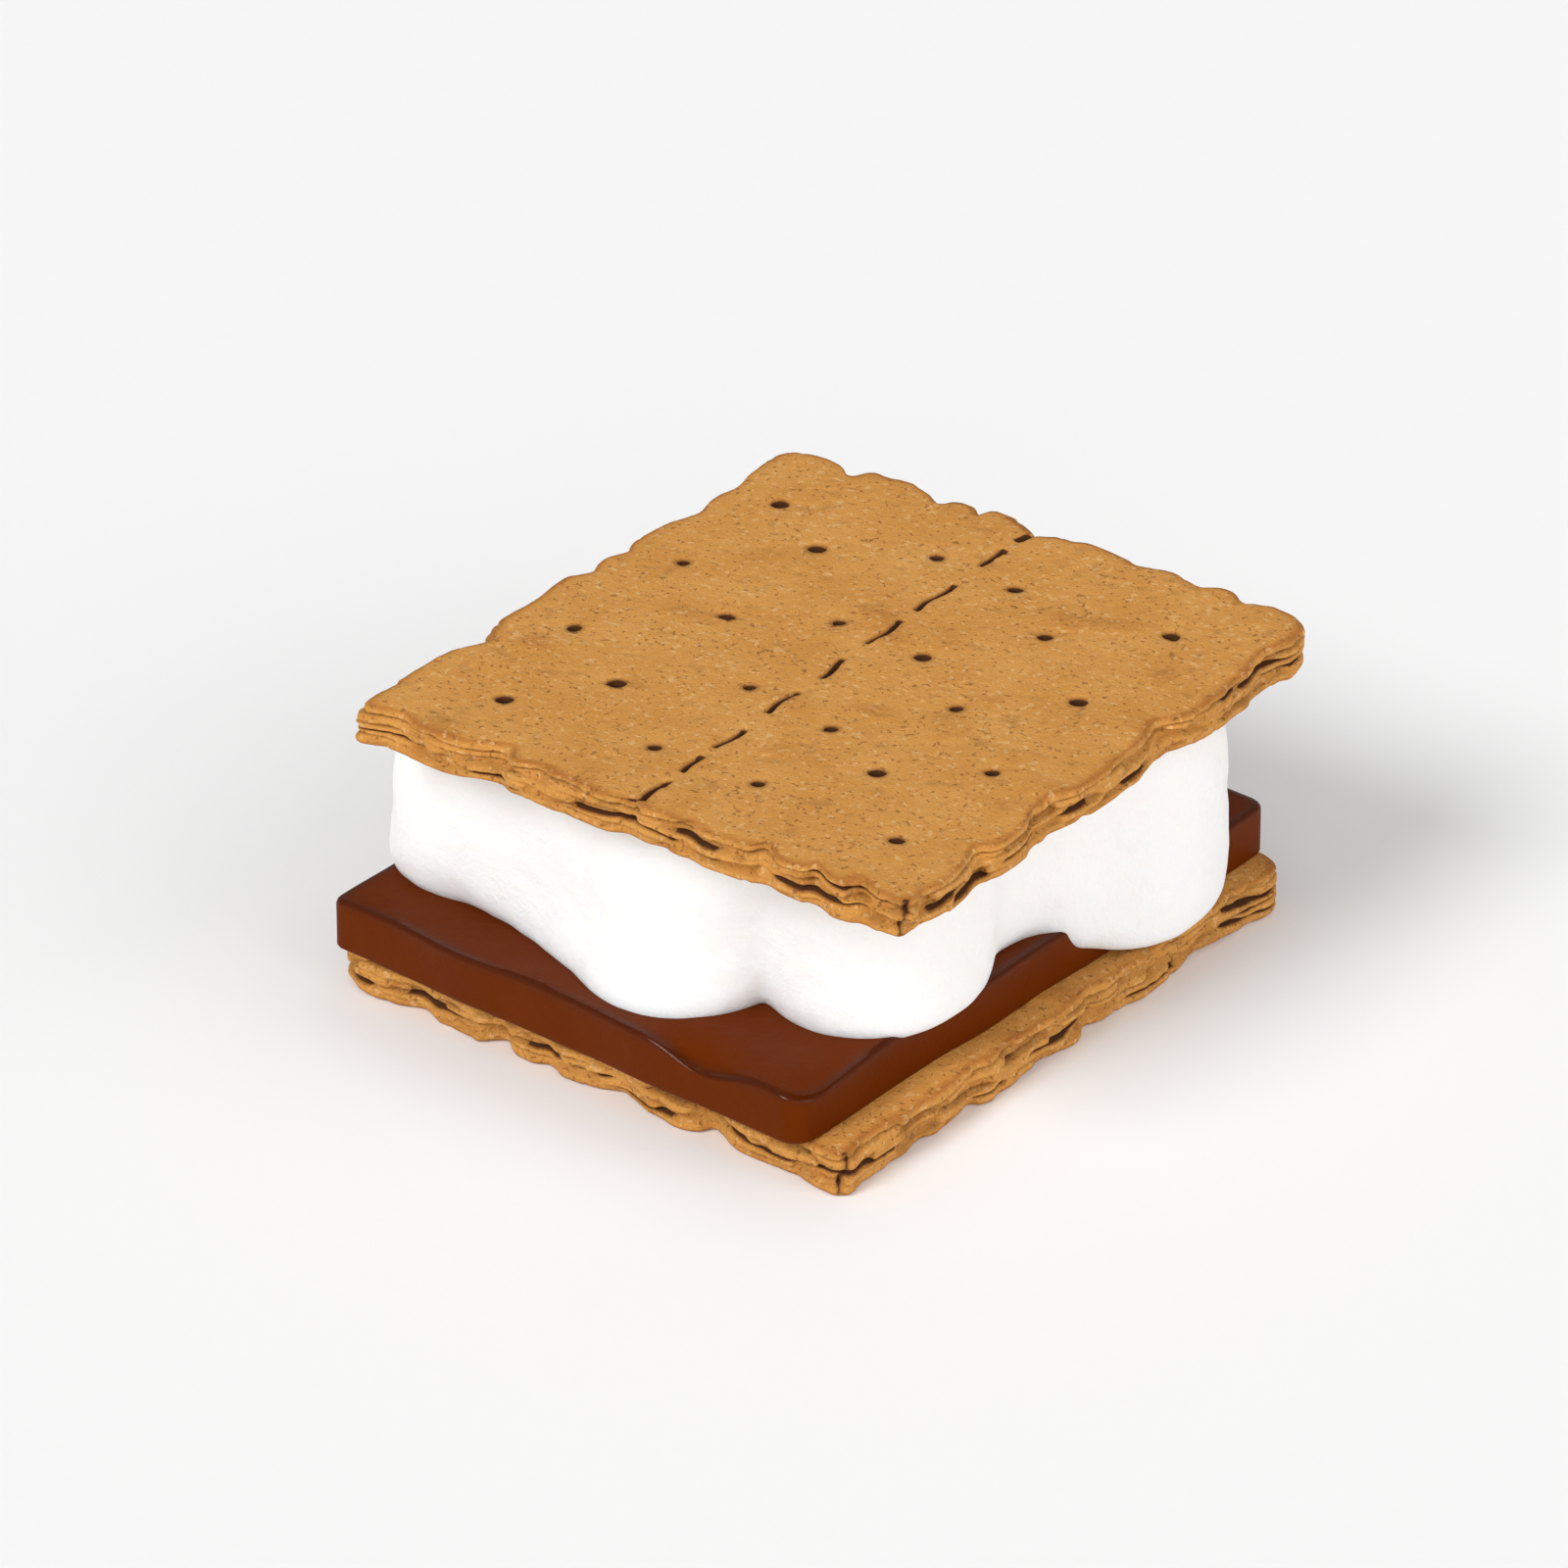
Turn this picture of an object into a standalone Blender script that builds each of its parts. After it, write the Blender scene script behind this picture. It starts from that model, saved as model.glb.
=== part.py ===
"""A s'more: two graham cracker squares with a slab of chocolate and a soft marshmallow between them.

Metres, +Z up. The origin is on the table, under the middle of the bottom cracker. That cracker's
short sides lie along X and its long sides along Y. From the table up, the pieces are
bottom_cracker, chocolate, marshmallow and top_cracker, with a small gap between neighbours.
"""

import math

import bmesh
import bpy
import numpy as np

MM = 0.001

# Driving sizes of the stack
CRACKER_WIDE = 63.8 * MM
CRACKER_LONG = 70.2 * MM
BOTTOM_THICK = 4.8 * MM
TOP_THICK = 4.0 * MM
CHOCOLATE_WIDE = 58.3 * MM
CHOCOLATE_LONG = 72.6 * MM
CHOCOLATE_THICK = 5.1 * MM
MARSHMALLOW_THICK = 18.4 * MM
GAP = 0.3 * MM

# Where the pieces lie on each other
CHOCOLATE_CENTRE = (-0.65 * MM, -0.2 * MM)
CHOCOLATE_TURN = math.radians(-0.8)
MARSHMALLOW_CENTRE = (0.5 * MM, -0.5 * MM)
TOP_CENTRE = (5.0 * MM, -1.0 * MM)
TOP_TURN = math.radians(2.7)
TOP_TILT = math.radians(-1.2)

CHOCOLATE_FLOOR = BOTTOM_THICK + GAP
CHOCOLATE_TOP = CHOCOLATE_FLOOR + CHOCOLATE_THICK
MARSHMALLOW_FLOOR = CHOCOLATE_TOP + GAP
TOP_FLOOR = MARSHMALLOW_FLOOR + MARSHMALLOW_THICK + GAP


# What the pieces share

COSINES = 6
COSINE_HEIGHT = 0.36
FEWEST_WAVES = 0.6
MOST_WAVES = 1.5


def smooth_step(value, low, high):
    """0 below low, 1 above high, and an S-shaped rise between."""
    t = np.clip((value - low) / (high - low), 0.0, 1.0)
    return t * t * (3.0 - 2.0 * t)


def ripple(turn, seed, waves):
    """A repeatable wavy line round a closed outline, mostly between -1 and 1.

    turn runs from 0 to 1 round the outline. The line is a sum of cosines whose numbers of waves lie
    between FEWEST_WAVES and MOST_WAVES times `waves`, each with its own seeded phase.
    """
    chance = np.random.RandomState(seed)
    total = np.zeros_like(turn)
    for _ in range(COSINES):
        count = round(waves * chance.uniform(FEWEST_WAVES, MOST_WAVES))
        total = total + np.cos(2.0 * math.pi * (count * turn + chance.uniform()))
    return total * COSINE_HEIGHT


def rounded_rectangle(wide, long, radii, side_steps, corner_steps):
    """Points round a rectangle with four corner radii, anticlockwise from its (-X, -Y) corner.

    Each corner is an arc of corner_steps + 1 points, and each straight side between two arcs is
    divided into side_steps steps.
    """
    signs = ((-1, -1), (1, -1), (1, 1), (-1, 1))
    arcs = []
    for corner, ((sx, sy), radius) in enumerate(zip(signs, radii)):
        angles = math.pi + (corner + np.linspace(0.0, 1.0, corner_steps + 1)) * math.pi / 2
        centre = np.array([sx * (wide / 2 - radius), sy * (long / 2 - radius)])
        arcs.append(centre + radius * np.stack([np.cos(angles), np.sin(angles)], axis=1))
    share = np.arange(1, side_steps)[:, None] / side_steps
    points = []
    for arc, following in zip(arcs, arcs[1:] + arcs[:1]):
        points += [arc, arc[-1] + share * (following[0] - arc[-1])]
    return np.concatenate(points)


class Outline:
    """A rounded rectangle that can be moved in or out, its corners never folding over."""

    REACH = 6.0 * MM

    def __init__(self, wide, long, radii, side_steps, corner_steps):
        """`inward` is each point's way to a smaller rectangle, for one metre of moving in."""
        self.points = rounded_rectangle(wide, long, radii, side_steps, corner_steps)
        smaller = [max(radius - self.REACH, 0.4 * MM) for radius in radii]
        inner = rounded_rectangle(
            wide - 2 * self.REACH, long - 2 * self.REACH, smaller, side_steps, corner_steps
        )
        self.inward = (inner - self.points) / self.REACH
        steps = np.linalg.norm(np.roll(self.points, -1, axis=0) - self.points, axis=1)
        self.turn = (np.cumsum(steps) - steps) / steps.sum()

    def ring(self, moved_in, height):
        """The outline moved in by an amount and lifted to a height, both given point by point."""
        plan = self.points + self.inward * np.broadcast_to(moved_in, self.turn.shape)[:, None]
        return np.column_stack([plan, np.broadcast_to(height, self.turn.shape)])


def object_from(shape, name, collection, material=None):
    """A new object whose mesh is what the bmesh holds, with its own material."""
    mesh = bpy.data.meshes.new(name)
    shape.to_mesh(mesh)
    shape.free()
    made = bpy.data.objects.new(name, mesh)
    collection.objects.link(made)
    if material:
        mesh.materials.append(material)
        mesh.shade_smooth()
        mesh.set_sharp_from_angle(angle=math.radians(40))
    return made


def reshaped_drum(name, rings, collection, material=None):
    """A closed drum whose rings of points, from the lowest to the highest, are given as arrays.

    It starts as a cylinder primitive. Loop cuts give it one ring of vertices for each array, and
    each vertex then moves to its place, found from its angle and height on the plain cylinder. The
    number of points in a ring is a multiple of four.
    """
    rows, segments = len(rings), len(rings[0])
    drum = bmesh.new()
    bmesh.ops.create_cone(
        drum, cap_ends=True, cap_tris=False, segments=segments, radius1=1.0, radius2=1.0, depth=1.0
    )
    upright = [e for e in drum.edges if abs(e.verts[0].co.z - e.verts[1].co.z) > 0.5]
    bmesh.ops.subdivide_edges(drum, edges=upright, cuts=rows - 2, use_grid_fill=True)
    for vertex in drum.verts:
        row = round((vertex.co.z + 0.5) * (rows - 1))
        place = round(math.atan2(vertex.co.y, vertex.co.x) / (2.0 * math.pi) * segments)
        vertex.co = rings[row][place % segments]
    return object_from(drum, name, collection, material)


def plain_material(name, colour, roughness):
    """A Principled BSDF material with one colour, given as linear red, green and blue."""
    material = bpy.data.materials.new(name)
    material.use_nodes = True
    shader = material.node_tree.nodes["Principled BSDF"]
    shader.inputs["Base Color"].default_value = (*colour, 1.0)
    shader.inputs["Roughness"].default_value = roughness
    shader.inputs["Metallic"].default_value = 0.0
    return material


def new_collection(name):
    """A collection linked to the scene."""
    made = bpy.data.collections.new(name)
    bpy.context.scene.collection.children.link(made)
    return made


def cut_from(target, cutters):
    """A live Boolean difference of a collection of cutters, shown as wire, from the target."""
    for cutter in cutters.objects:
        cutter.display_type = "WIRE"
        cutter.hide_render = True
    modifier = target.modifiers.new(cutters.name, "BOOLEAN")
    modifier.operation = "DIFFERENCE"
    modifier.solver = "EXACT"
    modifier.operand_type = "COLLECTION"
    modifier.collection = cutters


# The crackers: flat baked sheets with a ragged side that shows their layers

BOTTOM_CORNERS = (5.0 * MM, 1.2 * MM, 3.8 * MM, 4.0 * MM)
BOTTOM_SEED = 1
TOP_CORNERS = (1.4 * MM, 1.2 * MM, 6.5 * MM, 4.6 * MM)
TOP_SEED = 101
# Bites out of the rim, one tuple for each side in the order -Y, +X, +Y and -X. Each bite is (place
# along X or Y, depth, reach along the rim), all in mm; one with a depth below 0 stands out. The
# shares say how much of that depth a bite has at the underside and at the top.
BOTTOM_BITES = (
    ((-21.0, 0.8, 1.6), (-10.7, 1.9, 1.5), (-4.4, 1.1, 1.2), (5.5, 1.2, 2.8), (16.2, 1.8, 1.6)),
    ((-23.0, 0.9, 1.6), (-15.4, 0.6, 1.2), (3.4, 0.8, 1.2), (9.0, 0.5, 1.5), (21.8, 0.9, 2.8)),
    ((-22.0, 1.2, 1.8), (-9.0, 1.6, 1.5), (6.0, 1.0, 2.4), (19.0, 1.7, 1.6)),
    ((24.0, 1.2, 2.2), (10.0, 0.8, 1.6), (-6.0, 1.5, 2.0), (-21.0, 0.9, 1.8)),
)
BOTTOM_BITE_SHARES = (1.0, 0.5)
TOP_BITES = (
    (
        (-28.5, 1.4, 2.8),
        (-16.8, 2.3, 2.2),
        (-11.4, 1.1, 1.8),
        (-0.2, 1.3, 1.3),
        (7.0, 0.9, 1.7),
        (15.7, 1.5, 1.2),
        (21.8, 1.3, 1.2),
        (27.2, 1.5, 1.4),
    ),
    ((-23.2, 1.3, 1.7), (-11.5, 1.3, 2.8), (7.4, 1.9, 2.2), (16.5, -0.5, 2.2), (24.8, 1.4, 2.5)),
    (
        (-23.8, 2.0, 1.3),
        (-12.9, 1.4, 1.7),
        (-7.9, 1.7, 1.1),
        (-0.3, 1.7, 2.1),
        (3.5, 1.0, 1.3),
        (11.3, 1.2, 2.0),
        (18.0, 0.7, 1.2),
        (23.2, 0.9, 1.4),
    ),
    (
        (24.5, 1.0, 3.0),
        (16.8, 1.6, 3.2),
        (5.9, 0.9, 1.6),
        (0.3, 0.8, 1.2),
        (-17.8, 1.3, 1.8),
        (-33.8, -0.5, 2.5),
    ),
)
TOP_BITE_SHARES = (0.4, 1.0)
# Places where the edge of the top cracker's underside stands out, written like the bites
TOP_LIPS = (((-31.9, -0.8, 2.2), (23.5, -0.5, 4.0)), (), (), ())
TOP_LIP_SHARES = (1.0, 0.0)
# Seeds of the broken stretches of each stratum, the lowest first
BOTTOM_BREAKS = (31, 2067, 65, 2984, 35)
TOP_BREAKS = (131, 2087, 1898, 5788, 135)
CRACKER_SIDE_STEPS = 40
CRACKER_CORNER_STEPS = 4
LAYERS = 5
SKIN_RECESS = 0.35 * MM
LAYER_RECESS = 0.7 * MM
LAYER_WAVER = 0.3
LAYER_WAVES = 15
LEDGE_HALF = 0.03
BREAK_WAVES = 17
BREAK_RISE = (0.0, 0.35)
EDGE_WAVE = 0.2 * MM
EDGE_WAVES = 24
TOP_DIP = 0.15 * MM
UNDERSIDE_DIP = 0.35 * MM
DIP_WAVES = 14
EDGE_LIFT = 0.12 * MM
EDGE_ROUND = 0.35 * MM
SHOULDER_INSET = 1.7 * MM


def bitten(points, bites):
    """How far the bites move a rim's points in.

    A bite is a Gaussian hollow about its place on the side's line: its depth, times e to minus the
    square of the distance from that place counted in reaches.
    """
    halves = (CRACKER_WIDE / 2, CRACKER_LONG / 2)
    moved_in = np.zeros(len(points))
    for (along, way), side in zip(((0, -1), (1, 1), (0, 1), (1, -1)), bites):
        off_line = points[:, 1 - along] - way * halves[1 - along]
        for place, depth, reach in side:
            apart = np.hypot(points[:, along] - place * MM, off_line)
            moved_in = moved_in + depth * MM * np.exp(-((apart / (reach * MM)) ** 2))
    return moved_in


def layer_recess(turn, height, seed, breaks):
    """How far the side is broken back at a height of 0 to 1 through the cracker.

    The side is LAYERS strata with wavy bounds. Each stratum is whole for a stretch, then broken back
    for a stretch, with a short step between, which leaves ledges and lens-shaped flakes. The two
    outermost strata are tougher and broken back less.
    """
    recess = np.zeros_like(turn)
    for layer, break_seed in enumerate(breaks):
        low = (layer + LAYER_WAVER * ripple(turn, seed + 10 + layer, LAYER_WAVES)) / LAYERS
        high = (layer + 1 + LAYER_WAVER * ripple(turn, seed + 11 + layer, LAYER_WAVES)) / LAYERS
        inside = smooth_step(height, low - LEDGE_HALF, low + LEDGE_HALF)
        inside = inside - smooth_step(height, high - LEDGE_HALF, high + LEDGE_HALF)
        depth = SKIN_RECESS if layer in (0, LAYERS - 1) else LAYER_RECESS
        broken = smooth_step(ripple(turn, break_seed, BREAK_WAVES), *BREAK_RISE)
        recess = recess + depth * inside * broken
    return recess


def cracker_rings(thick, corners, bite_sets, breaks, seed, grown):
    """The rings of a cracker about its own middle, its underside at 0 and its top at `thick`.

    The rim wanders in plan and has bites out of it, given as sets of bites with the shares of their
    depth at the underside and at the top. The top and bottom edges dip away from the flat faces,
    which start SHOULDER_INSET in from the rim. With grown above 0 the shape stands that far outside
    the cracker.
    """
    outline = Outline(
        CRACKER_WIDE, CRACKER_LONG, corners, CRACKER_SIDE_STEPS, CRACKER_CORNER_STEPS
    )
    turn = outline.turn
    bites = [(bitten(outline.points, sides), shares) for sides, shares in bite_sets]
    wave = EDGE_WAVE * ripple(turn, seed, EDGE_WAVES)
    top_dip = TOP_DIP * ripple(turn, seed + 3, DIP_WAVES)
    underside_dip = UNDERSIDE_DIP * ripple(turn, seed + 4, DIP_WAVES)

    def bitten_at(height):
        return sum(bite * np.interp(height, (0.0, 1.0), shares) for bite, shares in bites)

    rings = [outline.ring(SHOULDER_INSET + bitten_at(0.0) + wave - grown, -grown)]
    rim_levels = [(EDGE_ROUND, 0.07)] + [(0.0, (layer + 0.5) / LAYERS) for layer in range(LAYERS)]
    for inset, height in rim_levels + [(EDGE_ROUND, 0.93)]:
        from_middle = 2.0 * height - 1.0
        dip = -top_dip if from_middle > 0.0 else underside_dip
        rise = np.clip(height * thick + dip * from_middle**2, EDGE_LIFT, thick - EDGE_LIFT)
        recess = layer_recess(turn, height, seed, breaks)
        moved_in = inset + recess + bitten_at(height) + wave - grown
        rings.append(outline.ring(moved_in, rise + grown * from_middle))
    rings.append(outline.ring(SHOULDER_INSET + bitten_at(1.0) + wave - grown, thick + grown))
    return rings


# The docking holes and the perforated line of a cracker

HOLE_RADIUS = 1.0 * MM
HOLE_FLOOR = 0.6 * HOLE_RADIUS
HOLE_SIDES = 8
HOLE_DEPTH = 2.8 * MM
HOLE_PITCH = 16.3 * MM
HOLE_COLUMNS = (-9.2 * MM, 0.0, 9.2 * MM)
HALF_MIDDLE = 14.6 * MM
UNDERSIDE_SHIFT = (0.7 * MM, -1.2 * MM)
# Middles of the holes in the top cracker's top, column by column, in mm from its own middle
TOP_HOLES = (
    ((-25.0, 23.5), (-25.0, 7.5), (-25.0, -10.0), (-21.5, -25.5)),
    ((-16.5, 18.0), (-15.0, 1.0), (-15.0, -16.5)),
    ((-6.0, 23.5), (-5.5, 6.5), (-4.5, -9.5), (-4.5, -24.5)),
    ((4.0, 22.5), (5.0, 5.5), (6.5, -11.5), (7.5, -24.5)),
    ((12.0, 16.0), (13.5, -1.0), (15.0, -16.0)),
    ((21.5, 23.5), (22.0, 7.0), (23.5, -9.5), (24.0, -25.5)),
)
# Slots of the perforated line, as (middle along the line, length), both in mm. The end slots cut
# the rim.
SLOTS = (
    (-32.6, 6.4),
    (-25.3, 3.2),
    (-18.9, 4.5),
    (-10.0, 5.0),
    (-1.7, 4.4),
    (7.2, 5.5),
    (16.2, 6.2),
    (26.6, 3.9),
    (33.8, 5.6),
)
SLOT_WIDE = 0.8 * MM
SLOT_DEPTH = 1.5 * MM
LINE_MIDDLE = -0.45 * MM
LINE_LEAN = math.radians(2.0)
OVERCUT = 1.0 * MM


def underside_holes():
    """Middles of the docking holes: in each half, columns of four, three and four, staggered."""
    places = []
    for half in (-HALF_MIDDLE, HALF_MIDDLE):
        for across, count in zip(HOLE_COLUMNS, (4, 3, 4)):
            for hole in range(count):
                along = (hole - (count - 1) / 2) * HOLE_PITCH
                places.append((half + across + UNDERSIDE_SHIFT[0], along + UNDERSIDE_SHIFT[1]))
    return places


def top_holes():
    """Middles of the holes in the top cracker's top, in metres."""
    return [(x * MM, y * MM) for column in TOP_HOLES for x, y in column]


def add_hole_cutters(target, face, surface, places, cutters):
    """Tapered plugs for holes in the target's top, where face is 1, or its underside, face -1.

    surface is the height of that face over the target's own underside.
    """
    for number, place in enumerate(places):
        plug = bmesh.new()
        bmesh.ops.create_cone(
            plug,
            cap_ends=True,
            segments=HOLE_SIDES,
            radius1=HOLE_FLOOR,
            radius2=HOLE_RADIUS,
            depth=HOLE_DEPTH + OVERCUT,
        )
        made = object_from(plug, f"{target.name} hole {number}", cutters)
        made.location = (*place, surface - face * (HOLE_DEPTH - OVERCUT) / 2)
        made.rotation_euler = (0.0 if face > 0 else math.pi, 0.0, 0.0)
        made.parent = target


def add_slot_cutters(target, cutters):
    """Boxes for the slots of the perforated line in the target's top."""
    for number, (along, long) in enumerate(SLOTS):
        slot = bmesh.new()
        bmesh.ops.create_cube(slot, size=1.0)
        bmesh.ops.scale(slot, verts=slot.verts, vec=(SLOT_WIDE, long * MM, SLOT_DEPTH + OVERCUT))
        made = object_from(slot, f"{target.name} slot {number}", cutters)
        across = LINE_MIDDLE - math.tan(LINE_LEAN) * along * MM
        made.location = (across, along * MM, TOP_THICK - (SLOT_DEPTH - OVERCUT) / 2)
        made.rotation_euler = (0.0, 0.0, LINE_LEAN)
        made.parent = target


# The chocolate: a plain slab with a softened rim that has run down in places

CHOCOLATE_CORNERS = (0.9 * MM, 2.4 * MM, 1.6 * MM, 3.0 * MM)
CHOCOLATE_SIDE_STEPS = 20
CHOCOLATE_CORNER_STEPS = 5
RIM_WAVE = 0.3 * MM
RIM_WAVES = 12
RIM_SEED = 5
FOOT_WAVE = 0.4
RIM_ROUND = 0.8 * MM
RUN_WIDTH = 5.5 * MM
# Places where the top edge has run down, as (x, y, drop, reach along the rim)
RUNS = (
    (17.5 * MM, -36.0 * MM, 2.0 * MM, 4.5 * MM),
    (29.0 * MM, -33.0 * MM, 0.9 * MM, 4.0 * MM),
    (-29.0 * MM, 14.0 * MM, 1.3 * MM, 6.0 * MM),
    (6.0 * MM, 36.0 * MM, 1.5 * MM, 5.0 * MM),
)


def chocolate_rings(grown):
    """The rings of the slab, or with grown above 0 of a shape that stands clear of it."""
    outline = Outline(
        CHOCOLATE_WIDE,
        CHOCOLATE_LONG,
        CHOCOLATE_CORNERS,
        CHOCOLATE_SIDE_STEPS,
        CHOCOLATE_CORNER_STEPS,
    )
    wander = RIM_WAVE * ripple(outline.turn, RIM_SEED, RIM_WAVES)
    drop = np.zeros_like(outline.turn)
    for x, y, depth, reach in RUNS:
        apart = np.hypot(outline.points[:, 0] - x, outline.points[:, 1] - y)
        drop = drop + depth * np.exp(-((apart / reach) ** 2))
    levels = ((0.4 * MM, 0.0), (0.0, 0.1), (0.0, 0.5), (0.25 * RIM_ROUND, 0.88))
    levels += ((RIM_ROUND, 0.985), (0.5 * RUN_WIDTH, 1.0), (RUN_WIDTH, 1.0))
    rings = []
    for inset, height in levels:
        fading = (1.0 - inset / RUN_WIDTH) ** 2
        rise = CHOCOLATE_FLOOR + height * CHOCOLATE_THICK - drop * fading * height**3
        rise = rise + (2.0 * height - 1.0) * grown
        moved_in = inset + wander * (FOOT_WAVE + (1.0 - FOOT_WAVE) * height) * fading - grown
        rings.append(outline.ring(moved_in, rise))
    return rings


# The marshmallow: pressed flat above and below, bulging between, its foot spread in round lobes

MARSHMALLOW_SEGMENTS = 80
LOWER_RINGS = 8
UPPER_RINGS = 7
BELLY_HEIGHT = 0.4 * MARSHMALLOW_THICK
BELLY_SOFTNESS = 2.5 * MM
BELLY_FOLLOWS_FOOT = 0.4
HEAD_HALVES = (28.5 * MM, 30.0 * MM)
HEAD_SQUARENESS = 3.2
HEAD_SHIFT = (3.2 * MM, -0.1 * MM)
WALL_FULLNESS = 2.3
WALL_STEEPNESS = 0.6
LIP_WIDTH = 4.0 * MM
SOLE_SHARES = (0.5, 0.82)
FOOT_SUNK = 0.8 * MM
FOOT_SOFTNESS = 0.8 * MM
HANG_SOFTNESS = 2.0 * MM
SEARCHED_RADII = (10.0 * MM, 48.0 * MM)
SEARCH_STEPS = 400
# The plan circles that merge into the foot's outline: (x, y, radius, how far its edge hangs down)
FOOT_LOBES = (
    (0.0, 0.0, 23.0 * MM, 0.0),
    (4.0 * MM, -24.5 * MM, 8.8 * MM, 0.0),
    (-2.5 * MM, -21.8 * MM, 8.6 * MM, 0.0),
    (-7.5 * MM, -18.5 * MM, 10.0 * MM, 0.0),
    (-13.5 * MM, -17.5 * MM, 9.4 * MM, 0.0),
    (19.2 * MM, -16.6 * MM, 8.2 * MM, 0.0),
    (18.6 * MM, -12.5 * MM, 8.8 * MM, 0.6 * MM),
    (19.5 * MM, 8.6 * MM, 8.4 * MM, 1.5 * MM),
    (21.0 * MM, 15.6 * MM, 10.2 * MM, 5.2 * MM),
    (21.0 * MM, 19.4 * MM, 9.7 * MM, 4.2 * MM),
    (4.0 * MM, 18.5 * MM, 12.8 * MM, 0.0),
    (-17.5 * MM, 19.5 * MM, 9.6 * MM, 0.0),
    (-17.0 * MM, 2.0 * MM, 10.8 * MM, 0.0),
    (-22.6 * MM, -18.4 * MM, 9.2 * MM, 0.0),
)
# The plan circles that merge into the belly's outline: (x, y, radius)
BELLY_LOBES = (
    (0.0, 0.0, 30.5 * MM),
    (-21.3 * MM, -20.0 * MM, 12.6 * MM),
    (17.5 * MM, -16.5 * MM, 11.5 * MM),
    (21.3 * MM, 19.5 * MM, 13.2 * MM),
    (-18.5 * MM, 19.0 * MM, 12.0 * MM),
)


def circle_weights(x, y, circles, softness):
    """For each plan circle, the exponential of a point's depth inside it, counted in softness."""
    return [np.exp((lobe[2] - np.hypot(x - lobe[0], y - lobe[1])) / softness) for lobe in circles]


def plan_at(angle, radius):
    """X and Y at a radius from the marshmallow's middle in a direction."""
    x = MARSHMALLOW_CENTRE[0] + radius * np.cos(angle)
    y = MARSHMALLOW_CENTRE[1] + radius * np.sin(angle)
    return x, y


def merged_radius(angle, circles, softness):
    """Radius of a soft union of plan circles, in each direction from the marshmallow's middle.

    A point is in the union where the circles' weights add up to over 1. Along each direction the
    last such point is found on a fine scale of radii.
    """
    radius = np.linspace(*SEARCHED_RADII, SEARCH_STEPS)
    x, y = plan_at(angle[:, None], radius)
    depth = np.log(sum(circle_weights(x, y, circles, softness)))
    rows = np.arange(len(angle))
    last = len(radius) - 1 - np.argmax(depth[:, ::-1] > 0.0, axis=1)
    inside, outside = depth[rows, last], depth[rows, last + 1]
    return radius[last] + (radius[1] - radius[0]) * inside / (inside - outside)


def hang_depth(angle, foot):
    """How far the foot's edge hangs down in each direction, blended from the lobes near it."""
    weights = circle_weights(*plan_at(angle, foot), FOOT_LOBES, HANG_SOFTNESS)
    return sum(weight * lobe[3] for weight, lobe in zip(weights, FOOT_LOBES)) / sum(weights)


def square_radius(angle, halves, squareness):
    """Distance to a superellipse in each direction, rounder or squarer as squareness says."""
    across = np.abs(np.cos(angle)) / halves[0]
    along = np.abs(np.sin(angle)) / halves[1]
    return (across**squareness + along**squareness) ** (-1.0 / squareness)


def top_plane(x, y):
    """Height of the top cracker's underside over a plan point."""
    dx, dy = x - TOP_CENTRE[0], y - TOP_CENTRE[1]
    up_slope = math.cos(TOP_TURN) * dy - math.sin(TOP_TURN) * dx
    return TOP_FLOOR + math.tan(TOP_TILT) * up_slope


def marshmallow_rings():
    """The rings of the marshmallow before its neighbours are cut from it, underside first.

    Below the belly the wall is a cubic curve that falls straight at first and then rolls under a
    lip to the foot's edge. Above, it is a quarter of a superellipse up to the flat head.
    """
    angle = np.linspace(0.0, 2.0 * math.pi, MARSHMALLOW_SEGMENTS, endpoint=False)
    foot = merged_radius(angle, FOOT_LOBES, FOOT_SOFTNESS)
    belly = merged_radius(angle, BELLY_LOBES, BELLY_SOFTNESS)
    belly = belly + BELLY_FOLLOWS_FOOT * (foot - belly)
    head = square_radius(angle, HEAD_HALVES, HEAD_SQUARENESS)
    low = CHOCOLATE_TOP - FOOT_SUNK - hang_depth(angle, foot)
    middle = MARSHMALLOW_FLOOR + BELLY_HEIGHT

    def ring(radius, height, shifted=0.0):
        x, y = plan_at(angle, radius)
        x, y = x + HEAD_SHIFT[0] * shifted, y + HEAD_SHIFT[1] * shifted
        return np.column_stack([x, y, np.broadcast_to(height, angle.shape)])

    sole_middle, sole_edge = SOLE_SHARES
    rings = [ring(sole_middle * foot, CHOCOLATE_TOP - 2.0 * FOOT_SUNK), ring(sole_edge * foot, low)]
    for t in np.linspace(1.0, 0.0, LOWER_RINGS):
        straight, rolled, end = (1 - t) ** 2 * (1 + 2 * t), 3 * (1 - t) * t**2, t**3
        radius = straight * belly + rolled * (foot + LIP_WIDTH) + end * foot
        fall = 3 * (1 - t) ** 2 * t * WALL_STEEPNESS + rolled + end
        rings.append(ring(radius, middle + fall * (low - middle)))
    head_ring = ring(head, 0.0, 1.0)
    ceiling = top_plane(head_ring[:, 0], head_ring[:, 1]) - GAP
    for t in np.linspace(0.0, math.pi / 2, UPPER_RINGS + 1)[1:]:
        out, up = np.cos(t) ** (2 / WALL_FULLNESS), np.sin(t) ** (2 / WALL_FULLNESS)
        rings.append(ring(head + out * (belly - head), middle + up * (ceiling - middle), 1 - out))
    return rings


# The whole stack, with plain finishes whose colours are linear red, green and blue

CRACKER_BROWN = (0.590, 0.275, 0.069)
CRACKER_ROUGHNESS = 0.85
CHOCOLATE_BROWN = (0.156, 0.027, 0.003)
CHOCOLATE_ROUGHNESS = 0.4
MARSHMALLOW_WHITE = (0.95, 0.94, 0.92)
MARSHMALLOW_ROUGHNESS = 0.6


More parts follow.
